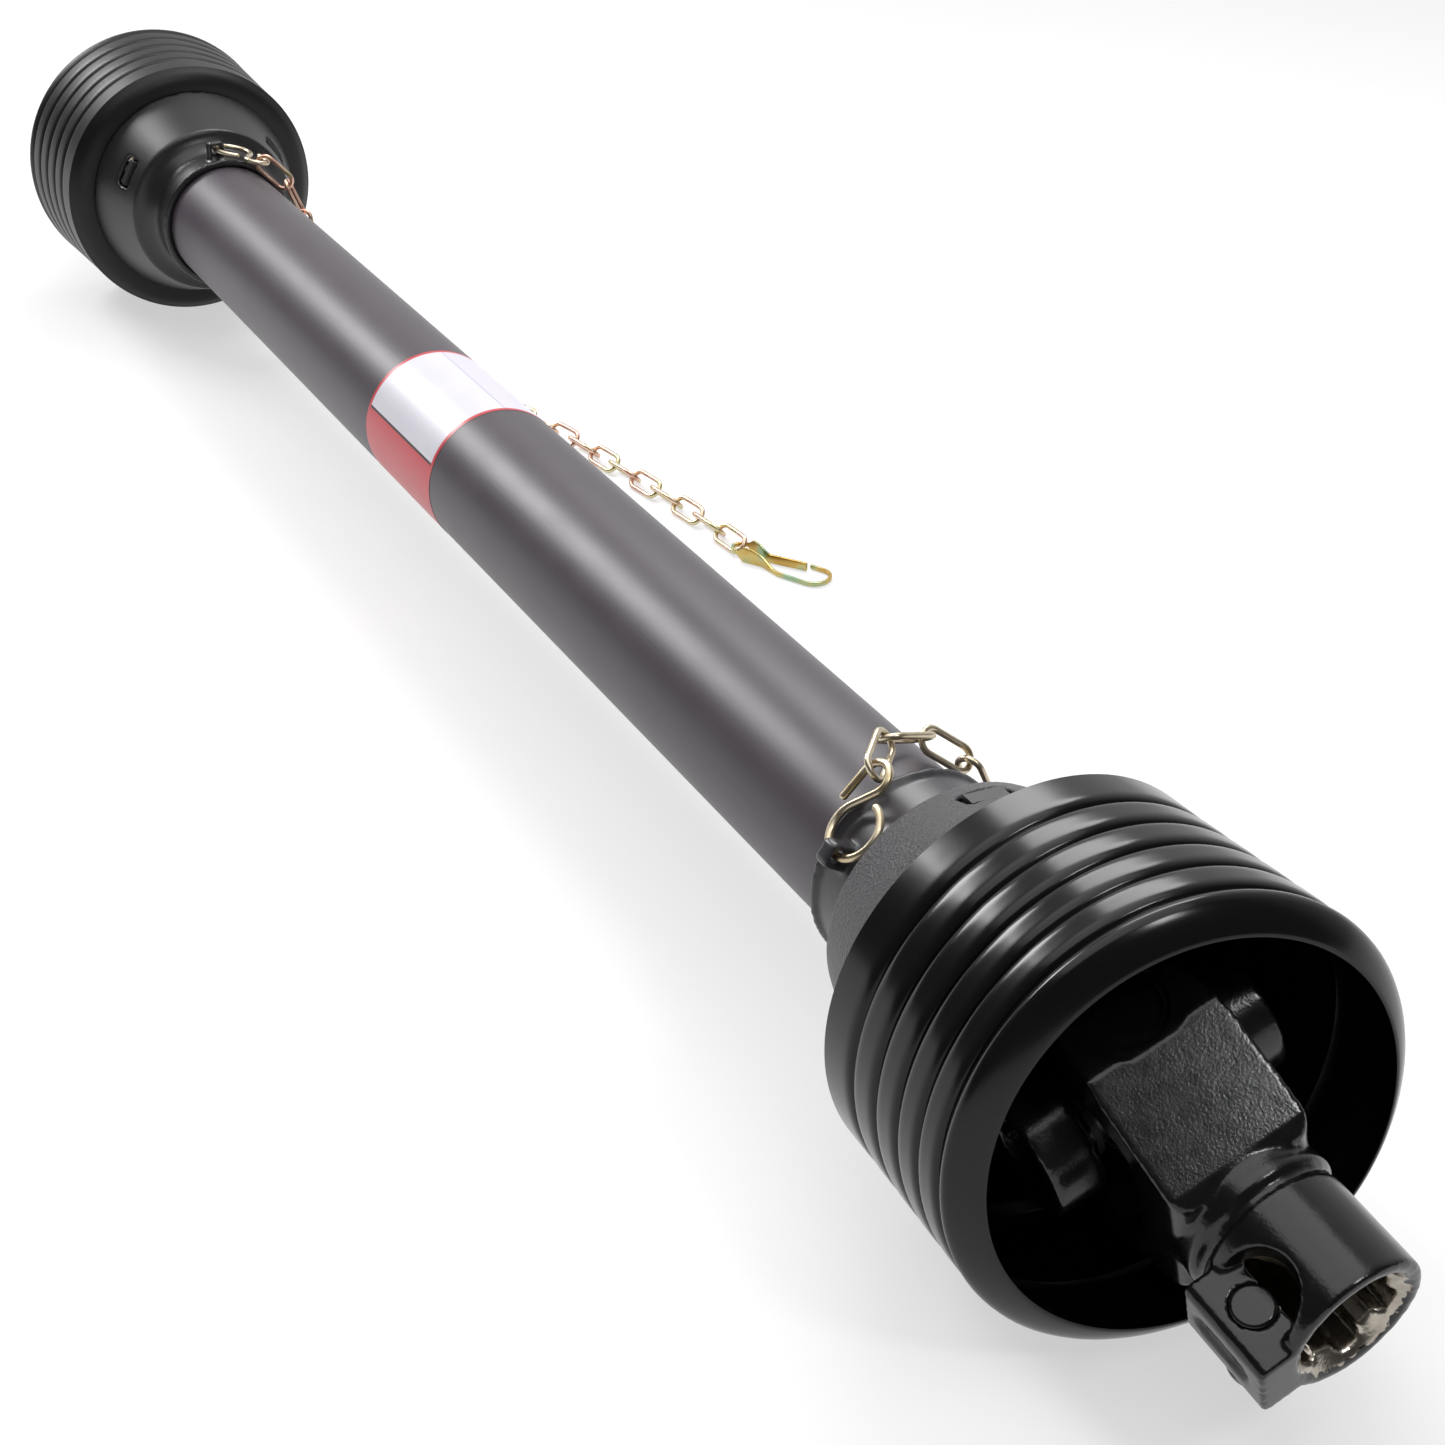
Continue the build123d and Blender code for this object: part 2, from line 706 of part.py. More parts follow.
def kept_clear(knot):
    """A chain knot moved off the guard tube and up to its resting height on the floor."""
    side = knot.Y - axis_y
    height = knot.Z - axis_z
    closest = guard_tube_radius + link_half_width
    outwards = max(1.0, closest / (side * side + height * height) ** 0.5)
    return Vector(knot.X, axis_y + side * outwards, max(axis_z + height * outwards, chain_height))


def chain(loop_plane, route, clip_eye_point, label):
    """Interlocked links along a route, each rolled 45 degrees the other way from the last.

    The first few turn gradually, so that the first one stands square to its S-hook.
    """
    small_loop_point = loop_plane.origin
    link = chain_link()
    first = route[0] - small_loop_point
    start = small_loop_point + first * ((small_loop - 3.1) / first.length) + loop_plane.z_dir * 1.3
    clip_end = clip_eye_point - (clip_eye_point - route[-1]).normalized() * (link_wire + link_slack)
    path = Edge.make_spline([start] + route + [clip_end])
    count = round(path.length / (link_inner_length - link_slack))
    step = path.length / count
    knots = [path.position_at(index * step, position_mode=PositionMode.LENGTH) for index in range(count + 1)]
    knots = [start] + [kept_clear(knot) for knot in knots[1:-1]] + [clip_end]
    frames = []
    up = Vector(0, 0, 1)
    for index in range(count - 1, -1, -1):
        along = knots[index + 1] - knots[index]
        up = (up - along * (up.dot(along) / along.length ** 2)).normalized()
        frames.insert(0, ((knots[index] + knots[index + 1]) / 2, along, up, along.normalized().cross(up)))
    square = loop_plane.z_dir
    turn = atan2(square.dot(frames[0][3]), square.dot(frames[0][2])) - radians(45)
    places = []
    for index, (middle, along, up, side) in enumerate(frames):
        roll = radians(45 if index % 2 else -45) + turn * max(0, 1 - index / 8)
        places.append(Plane(origin=middle, x_dir=along, z_dir=up * cos(roll) + side * sin(roll)).location)
    with BuildPart() as links:
        with Locations(*places):
            add(link)
    write(links, label)


def clip_plane(place, heading):
    """Where a spring clip lies on the floor, at the bend that holds its last link."""
    forwards = Vector(cos(radians(heading)), sin(radians(heading)), 0)
    return Plane(origin=(near_lip_x + place[0], axis_y + place[1], 0), x_dir=forwards, z_dir=(0, 0, 1))


def spring_clip(plane, label):
    """A snap clip of bent strip: an eye on the last link, a hooked nose and a spring arm."""
    nose = clip_length - clip_eye
    with BuildPart() as clip:
        with BuildSketch(plane):
            with BuildLine():
                FilletPolyline(
                    (34, 4.8),
                    (12, 1.4),
                    (-clip_eye, 6.2),
                    (-clip_eye, -6),
                    (14, -4),
                    (26, -clip_nose),
                    (nose, -clip_nose),
                    (nose, clip_nose),
                    (34, clip_nose),
                    radius=(5, 5.6, 5.4, 8, 8, 7.5, 7.5),
                )
                offset(amount=clip_thickness / 2, side=Side.BOTH)
            make_face()
        extrude(amount=clip_width)
        # The strip narrows at the eye, where the link goes round it, and towards the nose
        with BuildSketch(Plane(origin=plane.origin, x_dir=plane.x_dir, z_dir=plane.y_dir * -1)):
            with BuildLine():
                Polyline(
                    (-clip_eye - 2, chain_height - 1.05),
                    (-clip_eye + 5.5, chain_height - 1.05),
                    (-clip_eye + 8.5, 0),
                    (nose + 2, 0),
                    (nose + 2, 4.8),
                    (24, 5),
                    (10, clip_width),
                    (-clip_eye + 8.5, clip_width),
                    (-clip_eye + 5.5, chain_height + 1.05),
                    (-clip_eye - 2, chain_height + 1.05),
                    close=True,
                )
            make_face()
        extrude(amount=2 * clip_nose, both=True, mode=Mode.INTERSECT)
    write(clip, label)


os.makedirs("parts", exist_ok=True)

# Guard, far half
inner_tube_radius = guard_tube_radius - guard_tube_wall - guard_slide_gap
guard_cone(far_cone_frame, "far_guard_cone", guard_tube_radius - guard_tube_wall, guard_tube_radius + seat_gap, tube_seat)
bellows(far_cone_frame, "far_bellows")
bearing_ring(far_cone_frame, "far_bearing_ring")
tube(-lip_to_lip - tube_seat, collar_step - 1, guard_tube_radius, guard_tube_wall, "outer_guard_tube")

# Guard, near half
guard_cone(near_cone_frame, "near_guard_cone", inner_tube_radius + seat_gap, guard_tube_radius + collar_clearance, collar_step)
bellows(near_cone_frame, "near_bellows")
bearing_ring(near_cone_frame, "near_bearing_ring")
tube(-lip_to_lip + inner_tube_short, tube_seat + cone_wall, inner_tube_radius, inner_guard_wall, "inner_guard_tube")

# Drive tubes: the female tube belongs to the near half, the male one to the far half
cross_to_cross = lip_to_lip + 2 * cross_station
male_inset = outer_profile_wall + profile_slide_gap
female_length = cross_to_cross - tube_hub_end - far_end_gap - base_reach
male_length = cross_to_cross - tube_hub_end - free_end_gap - base_reach
profile_tube(near_tube_frame, base_reach, female_length, 0, outer_profile_wall, "outer_profile_tube")
profile_tube(far_tube_frame, base_reach, male_length, male_inset, inner_profile_wall, "inner_profile_tube")

# Universal joints and end yokes
for end, tube_frame, end_frame, inset in (
    ("near", near_tube_frame, near_end_frame, 0),
    ("far", far_tube_frame, far_end_frame, male_inset),
):
    tube_yoke(tube_frame, end + "_tube_yoke", inset)
    roll_pin(tube_frame, end + "_roll_pin")
    cross(end_frame, end + "_cross")
    cross_seals(end_frame, end + "_cross_seals")
    grease_nipple(end_frame, end + "_grease_nipple")
    end_yoke(end_frame, end + "_end_yoke")
    push_pin(end_frame, end + "_push_pin")
    pin_spring(end_frame, end + "_pin_spring")
    for name, direction, side in (
        ("tube_yoke_{}_left", (-1, 0, 0), (0, 1, 0)),
        ("tube_yoke_{}_right", (1, 0, 0), (0, 1, 0)),
        ("end_yoke_{}_top", (0, 1, 0), (1, 0, 0)),
        ("end_yoke_{}_bottom", (0, -1, 0), (1, 0, 0)),
    ):
        bearing_cap(end_frame, direction, side, end + "_" + name.format("cap"))
        circlip(end_frame, direction, side, end + "_" + name.format("circlip"))

# Chains: each hangs from its cone's S-hook, lies over the tube and runs along the floor behind it
floor = chain_height - axis_z
far_loop = s_hook(far_cone_frame, hook_lean, -87, "far_s_hook")
far_clip = clip_plane(far_clip_place, far_clip_heading)
far_route = [
    axis_point(-722, *on_tube(45)),
    axis_point(-720, *on_tube(15)),
    axis_point(-716, *on_tube(-10)),
    axis_point(-705, 44, -40),
    axis_point(-688, 56, floor),
    axis_point(-660, 72, floor),
    axis_point(-600, 92, floor),
    axis_point(-540, 108, floor),
    axis_point(-475, 119, floor),
    axis_point(-432, 125, floor),
    axis_point(-390, 130, floor),
]
chain(far_loop, far_route, far_clip.from_local_coords((5.5 - clip_eye, 0.1, chain_height)), "far_chain")
spring_clip(far_clip, "far_spring_clip")
near_loop = s_hook(near_cone_frame, hook_lean, 0, "near_s_hook")
near_clip = clip_plane(near_clip_place, near_clip_heading)
near_route = [
    axis_point(-13, *on_tube(92, 3)),
    axis_point(-17, *on_tube(66)),
    axis_point(-14, *on_tube(40)),
    axis_point(-12, *on_tube(12)),
    axis_point(-14, *on_tube(-15)),
    axis_point(-22, 46, -45),
    axis_point(-40, 52, floor),
    axis_point(-80, 60, floor),
    axis_point(-140, 66, floor),
    axis_point(-200, 62, floor),
    axis_point(-260, 66, floor),
]
chain(near_loop, near_route, near_clip.from_local_coords((5.5 - clip_eye, 0.1, chain_height)), "near_chain")
spring_clip(near_clip, "near_spring_clip")

print("axis height", axis_z, "axis y", axis_y, "near lip x", near_lip_x, "far lip x", far_lip_x)
print("near cross", near_cross_point, "far cross", far_cross_point)
print("near yoke axis", near_yoke_axis, "near ear axis", near_end_frame.y_dir, "tube ears", tube_ears)
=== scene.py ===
import bmesh
import bpy
import numpy as np
from mathutils import Matrix, Vector


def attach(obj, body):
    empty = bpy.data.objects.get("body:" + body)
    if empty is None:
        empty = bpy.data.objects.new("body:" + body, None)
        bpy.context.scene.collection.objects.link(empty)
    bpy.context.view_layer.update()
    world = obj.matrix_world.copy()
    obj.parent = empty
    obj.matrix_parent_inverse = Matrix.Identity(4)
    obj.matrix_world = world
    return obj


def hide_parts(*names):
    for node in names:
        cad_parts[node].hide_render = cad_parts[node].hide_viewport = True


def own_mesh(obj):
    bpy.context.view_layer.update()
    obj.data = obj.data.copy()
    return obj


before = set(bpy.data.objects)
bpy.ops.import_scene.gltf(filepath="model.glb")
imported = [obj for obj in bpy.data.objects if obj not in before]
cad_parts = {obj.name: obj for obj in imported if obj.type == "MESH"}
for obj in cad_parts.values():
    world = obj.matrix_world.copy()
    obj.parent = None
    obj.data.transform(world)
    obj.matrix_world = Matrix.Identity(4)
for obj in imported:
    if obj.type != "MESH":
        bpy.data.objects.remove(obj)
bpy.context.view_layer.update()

# Camera and studio
# The shaft lies on a white table under soft light. Everything is measured from the near cone's
# lip, a point on the shaft line where the guard tube enters the cone, with millimetres along X.
lip_to_lip = 733.0
near_lip = np.array([365.2208, -41.7791, 75.55])
far_lip = near_lip - np.array([lip_to_lip, 0, 0])
half_frame, focal_length = 722.5, 2405.0


def place_camera():
    """The photograph's view. Right, up and back are the camera's axes, and its place is given from
    the lip. The frame's half width and the focal length are in the photograph's pixels."""
    data = bpy.data.cameras.new("camera")
    data.angle = 2 * np.arctan(half_frame / focal_length)
    data.clip_start = 0.01
    data.clip_end = 50
    camera = bpy.data.objects.new("camera", data)
    right = Vector((0.46338, 0.88616, 0.0))
    back = Vector((0.76433, -0.39967, 0.50603))
    up = back.cross(right)
    position = Vector((near_lip + np.array([560.92, -361.85, 444.93])) / 1000)
    camera.matrix_world = Matrix((right, up, back)).transposed().to_4x4()
    camera.matrix_world.translation = position
    bpy.context.scene.collection.objects.link(camera)
    bpy.context.scene.camera = camera


def linear(colour):
    """An sRGB hex colour as linear red, green, blue and alpha."""
    parts = np.array([int(colour[i : i + 2], 16) / 255 for i in (1, 3, 5)])
    return (*np.where(parts <= 0.04045, parts / 12.92, ((parts + 0.055) / 1.055) ** 2.4), 1.0)


def add_node(tree, kind, settings=None, links=None):
    """One shader node: settings are its attributes or input values, links its inputs from sockets."""
    node = tree.nodes.new(kind)
    for name, value in (settings or {}).items():
        if isinstance(name, str) and hasattr(node, name):
            setattr(node, name, value)
        else:
            node.inputs[name].default_value = value
    for name, socket in (links or {}).items():
        tree.links.new(socket, node.inputs[name])
    return node


def light(name, position, target, size, power):
    """A soft box: a rectangular area lamp that faces a point."""
    data = bpy.data.lights.new(name, "AREA")
    data.shape = "RECTANGLE"
    data.size, data.size_y = size
    data.energy = power
    lamp = bpy.data.objects.new(name, data)
    lamp.location = position
    lamp.rotation_euler = (Vector(target) - Vector(position)).to_track_quat("-Z", "Y").to_euler()
    bpy.context.scene.collection.objects.link(lamp)


def table_and_sky():
    """A white table under a room that is pale behind the far end and dark behind the camera."""
    scene = bpy.context.scene
    scene.view_settings.view_transform = "Standard"
    world = bpy.data.worlds.new("studio")
    scene.world = world
    world.use_nodes = True
    tree = world.node_tree
    tree.nodes.clear()
    direction = add_node(tree, "ShaderNodeTexCoord")
    pale = {"operation": "DOT_PRODUCT", 1: (-0.68, 0.68, 0.25)}
    facing = add_node(tree, "ShaderNodeVectorMath", pale, {0: direction.outputs["Generated"]})
    reach = {"From Min": 0.3, "From Max": 0.95, "To Min": 0.08, "To Max": 0.8}
    power = add_node(tree, "ShaderNodeMapRange", reach, {"Value": facing.outputs["Value"]})
    sky = add_node(
        tree, "ShaderNodeBackground", {"Color": linear("#ffffff")}, {"Strength": power.outputs[0]}
    )
    add_node(tree, "ShaderNodeOutputWorld", links={"Surface": sky.outputs[0]})
    bpy.ops.mesh.primitive_plane_add(size=30, location=(0, 0, -0.0004))
    table = bpy.context.object
    table.name = "table"
    material = bpy.data.materials.new("white table laminate")
    material.use_nodes = True
    tree = material.node_tree
    shader = tree.nodes["Principled BSDF"]
    shader.inputs["Roughness"].default_value = 0.7
    place = add_node(tree, "ShaderNodeTexCoord")
    grain = add_node(tree, "ShaderNodeTexNoise", {"Scale": 8.0}, {"Vector": place.outputs["Object"]})
    shades = {"data_type": "RGBA", 6: linear("#f4f4f4"), 7: linear("#f8f8f8")}
    tint = add_node(tree, "ShaderNodeMix", shades, {0: grain.outputs[0]})
    tree.links.new(tint.outputs[2], shader.inputs["Base Color"])
    path = add_node(tree, "ShaderNodeLightPath")
    largest = {"operation": "MAXIMUM"}
    first = add_node(
        tree,
        "ShaderNodeMath",
        largest,
        {0: path.outputs["Is Camera Ray"], 1: path.outputs["Is Glossy Ray"]},
    )
    seen = add_node(
        tree, "ShaderNodeMath", largest, {0: first.outputs[0], 1: path.outputs["Is Transmission Ray"]}
    )
    share = add_node(tree, "ShaderNodeMath", {"operation": "MULTIPLY", 1: 0.58}, {0: seen.outputs[0]})
    white = add_node(tree, "ShaderNodeEmission", {"Color": linear("#ffffff"), "Strength": 1.0})
    parts = {0: share.outputs[0], 1: shader.outputs[0], 2: white.outputs[0]}
    both = add_node(tree, "ShaderNodeMixShader", links=parts)
    tree.links.new(both.outputs[0], tree.nodes["Material Output"].inputs["Surface"])
    table.data.materials.append(material)


place_camera()
table_and_sky()
light("overhead soft box", (0.1, -0.2, 2.4), (0.1, -0.1, 0), (3.0, 2.4), 40)
light("far end soft box", (-0.415, 0.426, 0.956), (0.465, -0.04, 0.12), (0.62, 0.42), 6)
light("far left lamp", (-2.25, -0.85, 1.7), (0.1, -0.04, 0.1), (0.95, 0.95), 46)
light("near end lamp", (1.42, 0.26, 1.35), (0.54, -0.04, 0.1), (0.26, 0.26), 5)


# Guard tube
# The outer guard tube is dark grey polyethylene, extruded, cut square and pressed into the far
# cone. Its matt skin has faint drawing lines along its length from the die.
sharp_angle = 40


def put_mesh(name, points, closed_across=True, closed_along=False, capped=False):
    """A mesh from a grid of points (rows, columns, 3) in millimetres; closed grids wrap round."""
    rows, columns = points.shape[:2]
    index = np.arange(rows * columns).reshape(rows, columns)
    across = np.concatenate([index, index[:, :1]], 1) if closed_across else index
    net = np.concatenate([across, across[:1]], 0) if closed_along else across
    faces = np.stack([net[:-1, :-1], net[:-1, 1:], net[1:, 1:], net[1:, :-1]], -1).reshape(-1, 4)
    polygons = faces.tolist()
    if capped:
        polygons += [index[0, ::-1].tolist(), index[-1].tolist()]
    mesh = bpy.data.meshes.new(name)
    mesh.from_pydata((points.reshape(-1, 3) / 1000).tolist(), [], polygons)
    mesh.update()
    piece = bpy.data.objects.new(name, mesh)
    bpy.context.scene.collection.objects.link(piece)
    soften(piece, sharp_angle)
    return piece


def soften(piece, degrees):
    """Smooth shading, with edges kept sharp where two faces meet at more than the angle."""
    mesh = piece.data
    mesh.polygons.foreach_set("use_smooth", np.ones(len(mesh.polygons), bool))
    mesh.set_sharp_from_angle(angle=np.radians(degrees))


def turned_points(profile, lip, outwards, steps=128):
    """A profile of (station, radius) pairs turned about the shaft line, outwards from a lip."""
    stations, radii = np.asarray(profile, float).T
    angle = np.linspace(0, 2 * np.pi, steps, endpoint=False)
    x = np.repeat((lip[0] + outwards * stations)[:, None], steps, 1)
    y = lip[1] + radii[:, None] * np.cos(angle) * outwards
    z = lip[2] + radii[:, None] * np.sin(angle)
    return np.stack([x, y, z], -1)


def turned_piece(name, profile, lip, outwards, steps=128):
    """A closed turned wall from a closed profile, its faces outwards."""
    piece = put_mesh(name, turned_points(profile, lip, outwards, steps), closed_along=True)
    face_outwards(piece)
    return piece


def face_outwards(piece):
    """Faces recalculated to point outwards on a closed mesh."""
    work = bmesh.new()
    work.from_mesh(piece.data)
    bmesh.ops.remove_doubles(work, verts=work.verts, dist=1e-7)
    bmesh.ops.recalc_face_normals(work, faces=work.faces)
    work.to_mesh(piece.data)
    work.free()
    soften(piece, sharp_angle)


def new_material(name):
    """A material with its tree, its shader and its Object coordinates."""
    material = bpy.data.materials.new(name)
    material.use_nodes = True
    tree = material.node_tree
    coordinates = add_node(tree, "ShaderNodeTexCoord")
    return material, tree, tree.nodes["Principled BSDF"], coordinates.outputs["Object"]


def dress(piece, material, body, slot, *nodes):
    """Gives a piece its finish and its body, and hides the nodes that it stands for. The slot is not used.
    """
    piece.data.materials.clear()
    piece.data.materials.append(material)
    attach(piece, body)
    if nodes:
        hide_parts(*nodes)


def wrinkle(tree, shader, socket, strength, height):
    """A bump of a height in millimetres on the shader's normal."""
    bump = add_node(
        tree, "ShaderNodeBump", {"Strength": strength, "Distance": height / 1000}, {"Height": socket}
    )
    tree.links.new(bump.outputs[0], shader.inputs["Normal"])


def extruded_polyethylene():
    """Dark grey, waxy and matt: a soft cloudy tone, with drawing lines 1 mm apart that run along X."""
    material, tree, shader, place = new_material("extruded dark grey polyethylene")
    stretched = add_node(tree, "ShaderNodeMapping", {"Scale": (6, 900, 900)}, {"Vector": place})
    lines = add_node(
        tree, "ShaderNodeTexNoise", {"Scale": 1.0, "Detail": 3.0}, {"Vector": stretched.outputs[0]}
    )
    clouds = add_node(tree, "ShaderNodeTexNoise", {"Scale": 40.0, "Detail": 6.0}, {"Vector": place})
    tone = add_node(
        tree,
        "ShaderNodeMix",
        {"data_type": "RGBA", 6: linear("#3e383e"), 7: linear("#484249")},
        {0: clouds.outputs[0]},
    )
    dull = add_node(
        tree, "ShaderNodeMapRange", {"To Min": 0.36, "To Max": 0.45}, {"Value": clouds.outputs[0]}
    )
    tree.links.new(tone.outputs[2], shader.inputs["Base Color"])
    tree.links.new(dull.outputs[0], shader.inputs["Roughness"])
    wrinkle(tree, shader, lines.outputs[0], 0.25, 0.08)
    return material


# Stations run from the near lip to the far end. The tube goes 13 mm into the near cone and 20 mm
# into the far one.
tube_radius, tube_bore_radius, tube_chamfer = 32.5, 29.5, 0.5
tube_start, tube_end = -13.0, lip_to_lip + 20.0
tube_profile = [
    (tube_start, tube_bore_radius),
    (tube_start, tube_radius - tube_chamfer),
    (tube_start + tube_chamfer, tube_radius),
    (tube_end - tube_chamfer, tube_radius),
    (tube_end, tube_radius - tube_chamfer),
    (tube_end, tube_bore_radius),
]
guard_tube = turned_piece("guard_tube_skin", tube_profile, near_lip, -1, 160)
dress(guard_tube, extruded_polyethylene(), "far_guard", "grey_plastic", "outer_guard_tube")


# Label
# A vinyl label is stuck round the guard tube: a white field in a red border with a red band below
# a black line. Its fields are bare. The vinyl is 0.12 mm thick and slightly glossier than the tube.
# Start and end are in millimetres from the near lip, and the border is a share of the width between
# them. The other edges are degrees round the tube.
label_start, label_end = -423.0, -345.0
label_low, label_high = 40.0, 236.0
label_thickness = 0.12
border, strip_edge, band_edge = 0.028, 80.0, 157.2


def label_patch():
    """A patch of the cylinder over the tube: X across the label, then the angle round the tube."""
    rows, columns = 24, 120
    x = np.linspace(label_start, label_end, rows)
    angle = np.radians(np.linspace(label_low, label_high, columns))
    radius = tube_radius + label_thickness
    grid = np.empty((rows, columns, 3))
    grid[..., 0] = near_lip[0] + x[:, None]
    grid[..., 1] = near_lip[1] + radius * np.cos(angle)
    grid[..., 2] = near_lip[2] + radius * np.sin(angle)
    patch = put_mesh("tube_label", grid, closed_across=False)
    layer = patch.data.uv_layers.new(name="field")
    index = np.empty(len(patch.data.loops), int)
    patch.data.loops.foreach_get("vertex_index", index)
    u = (x - label_start) / (label_end - label_start)
    v = np.degrees(angle)
    spread = np.stack([np.repeat(u[:, None], columns, 1), np.repeat(v[None], rows, 0)], -1).reshape(-1, 2)
    layer.data.foreach_set("uv", spread[index].ravel())
    return patch


def printed_vinyl():
    """Screen-printed vinyl: red border 2.2 mm wide, lilac strip, white field, black line, red band."""
    material, tree, shader, place = new_material("screen printed vinyl")
    uv = add_node(tree, "ShaderNodeUVMap", {"uv_map": "field"})
    split = add_node(tree, "ShaderNodeSeparateXYZ", links={"Vector": uv.outputs[0]})
    across, angle = split.outputs[0], split.outputs[1]

    def above(socket, edge, width):
        """1 past an edge, with a soft step of a small width."""
        step = add_node(
            tree,
            "ShaderNodeMapRange",
            {"From Min": edge - width, "From Max": edge + width},
            {"Value": socket},
        )
        return step.outputs[0]

    def mixed(share, first, second):
        """The first colour where the share is 0, the second where it is 1."""
        mix = add_node(tree, "ShaderNodeMix", {"data_type": "RGBA"}, {0: share})
        for index, value in ((6, first), (7, second)):
            if isinstance(value, str):
                mix.inputs[index].default_value = linear(value)
            else:
                tree.links.new(value, mix.inputs[index])
        return mix.outputs[2]

    worn = add_node(tree, "ShaderNodeTexNoise", {"Scale": 60.0, "Detail": 3.0}, {"Vector": place})
    red = mixed(worn.outputs[0], "#b9323c", "#c8434c")
    white = mixed(worn.outputs[0], "#cfcdd6", "#d8d6de")
    lilac = mixed(worn.outputs[0], "#cbc7d8", "#d4d0df")
    field = mixed(above(angle, strip_edge, 0.3), lilac, white)
    line = mixed(above(angle, strip_edge - 0.6, 0.2), field, "#a9a5b8")
    field = mixed(above(angle, strip_edge + 0.4, 0.2), line, field)
    field = mixed(above(angle, band_edge - 1, 0.2), field, "#2a2022")
    field = mixed(above(angle, band_edge + 1, 0.2), field, red)
    inner = mixed(above(across, 1 - border, 0.003), field, red)
    whole = mixed(above(across, border, 0.003), red, inner)
    tree.links.new(whole, shader.inputs["Base Color"])
    dull = add_node(tree, "ShaderNodeMapRange", {"To Min": 0.26, "To Max": 0.4}, {"Value": worn.outputs[0]})
    tree.links.new(dull.outputs[0], shader.inputs["Roughness"])
    wrinkle(tree, shader, worn.outputs[0], 0.1, 0.05)
    return material


label = label_patch()
dress(label, printed_vinyl(), "far_guard", "grey_plastic")


# Guard cones
# Each cone is injection moulded in black polyethylene: a lip and a smooth collar with the chain's
# lug, then a flare into the dome, whose three slots hold the bearing ring's tabs.
facet_angle = 38


def fair_copy(node, name, edge=0.0):
    """A merged copy of a CAD node's mesh, smooth over its facets, its edges rounded in mm."""
    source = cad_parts[node]
    mesh = source.data.copy()
    piece = bpy.data.objects.new(name, mesh)
    bpy.context.scene.collection.objects.link(piece)
    work = bmesh.new()
    work.from_mesh(mesh)
    bmesh.ops.remove_doubles(work, verts=work.verts, dist=1e-6)
    bmesh.ops.dissolve_limit(work, angle_limit=np.radians(0.5), verts=work.verts, edges=work.edges)
    work.to_mesh(mesh)
    work.free()
    soften(piece, facet_angle)
    if edge:
        bevel = piece.modifiers.new("moulded edges", "BEVEL")
        bevel.width = edge / 1000
        bevel.segments = 2
        bevel.limit_method = "ANGLE"
        bevel.angle_limit = np.radians(facet_angle)
        bevel.harden_normals = True
    return piece


def even_copy(node, name, voxel, passes):
    """A moulded or forged skin: the CAD mesh rebuilt in even faces, a voxel in mm wide, and relaxed by
    moving each corner halfway to its neighbours' middle in each pass, which rounds edges by 1 mm."""
    piece = fair_copy(node, name)
    remesh = piece.modifiers.new("even faces", "REMESH")
    remesh.mode = "VOXEL"
    remesh.voxel_size = voxel / 1000
    remesh.use_smooth_shade = True
    relax = piece.modifiers.new("soft edges", "SMOOTH")
    relax.factor = 0.5
    relax.iterations = passes
    return piece


flare_start, flare_end = 22.0, 28.0


def moulded_polyethylene(name, lip_x, outwards, grain):
    """Black, satin moulding. The near dome's tool was etched: leather grain cells 1 mm across. The grained
    cone's lighter shades are a painted sheen for the light that its grain catches.
    """
    material, tree, shader, place = new_material(name)
    split = add_node(tree, "ShaderNodeSeparateXYZ", links={"Vector": place})
    start = (lip_x + outwards * flare_start) / 1000
    end = (lip_x + outwards * flare_end) / 1000
    dome = add_node(
        tree, "ShaderNodeMapRange", {"From Min": start, "From Max": end}, {"Value": split.outputs[0]}
    )
    cells = add_node(
        tree,
        "ShaderNodeTexVoronoi",
        {"feature": "SMOOTH_F1", "Scale": 1000.0, "Smoothness": 0.4},
        {"Vector": place},
    )
    hammer = add_node(
        tree, "ShaderNodeTexNoise", {"Scale": 900.0, "Detail": 4.0, "Roughness": 0.6}, {"Vector": place}
    )
    both = add_node(
        tree, "ShaderNodeMath", {"operation": "ADD"}, {0: cells.outputs[0], 1: hammer.outputs[0]}
    )
    masked = add_node(
        tree, "ShaderNodeMath", {"operation": "MULTIPLY"}, {0: both.outputs[0], 1: dome.outputs[0]}
    )
    clouds = add_node(tree, "ShaderNodeTexNoise", {"Scale": 25.0, "Detail": 3.0}, {"Vector": place})
    # The grained cone gets lighter shades: painted sheen, the light that its leather grain catches.
    shades = ("#2f2e31", "#3c3a3e") if grain else ("#1c1b1d", "#252426")
    shades = {"data_type": "RGBA", 6: linear(shades[0]), 7: linear(shades[1])}
    tone = add_node(tree, "ShaderNodeMix", shades, {0: clouds.outputs[0]})
    reach = {"To Min": 0.3, "To Max": 0.42 if grain else 0.33}
    dull = add_node(tree, "ShaderNodeMapRange", reach, {"Value": dome.outputs[0]})
    tree.links.new(tone.outputs[2], shader.inputs["Base Color"])
    tree.links.new(dull.outputs[0], shader.inputs["Roughness"])
    wrinkle(tree, shader, masked.outputs[0], 0.9 if grain else 0.05, 0.45)
    return material


near_cone = even_copy("near_guard_cone", "near_cone_moulding", 1.05, 3)
near_moulding = moulded_polyethylene("grained black polyethylene with painted sheen", near_lip[0], 1, True)
dress(near_cone, near_moulding, "near_guard", "black_plastic", "near_guard_cone")
far_cone = even_copy("far_guard_cone", "far_cone_moulding", 1.1, 3)
far_moulding = moulded_polyethylene("smooth black polyethylene", far_lip[0], -1, False)
dress(far_cone, far_moulding, "far_guard", "black_plastic", "far_guard_cone")


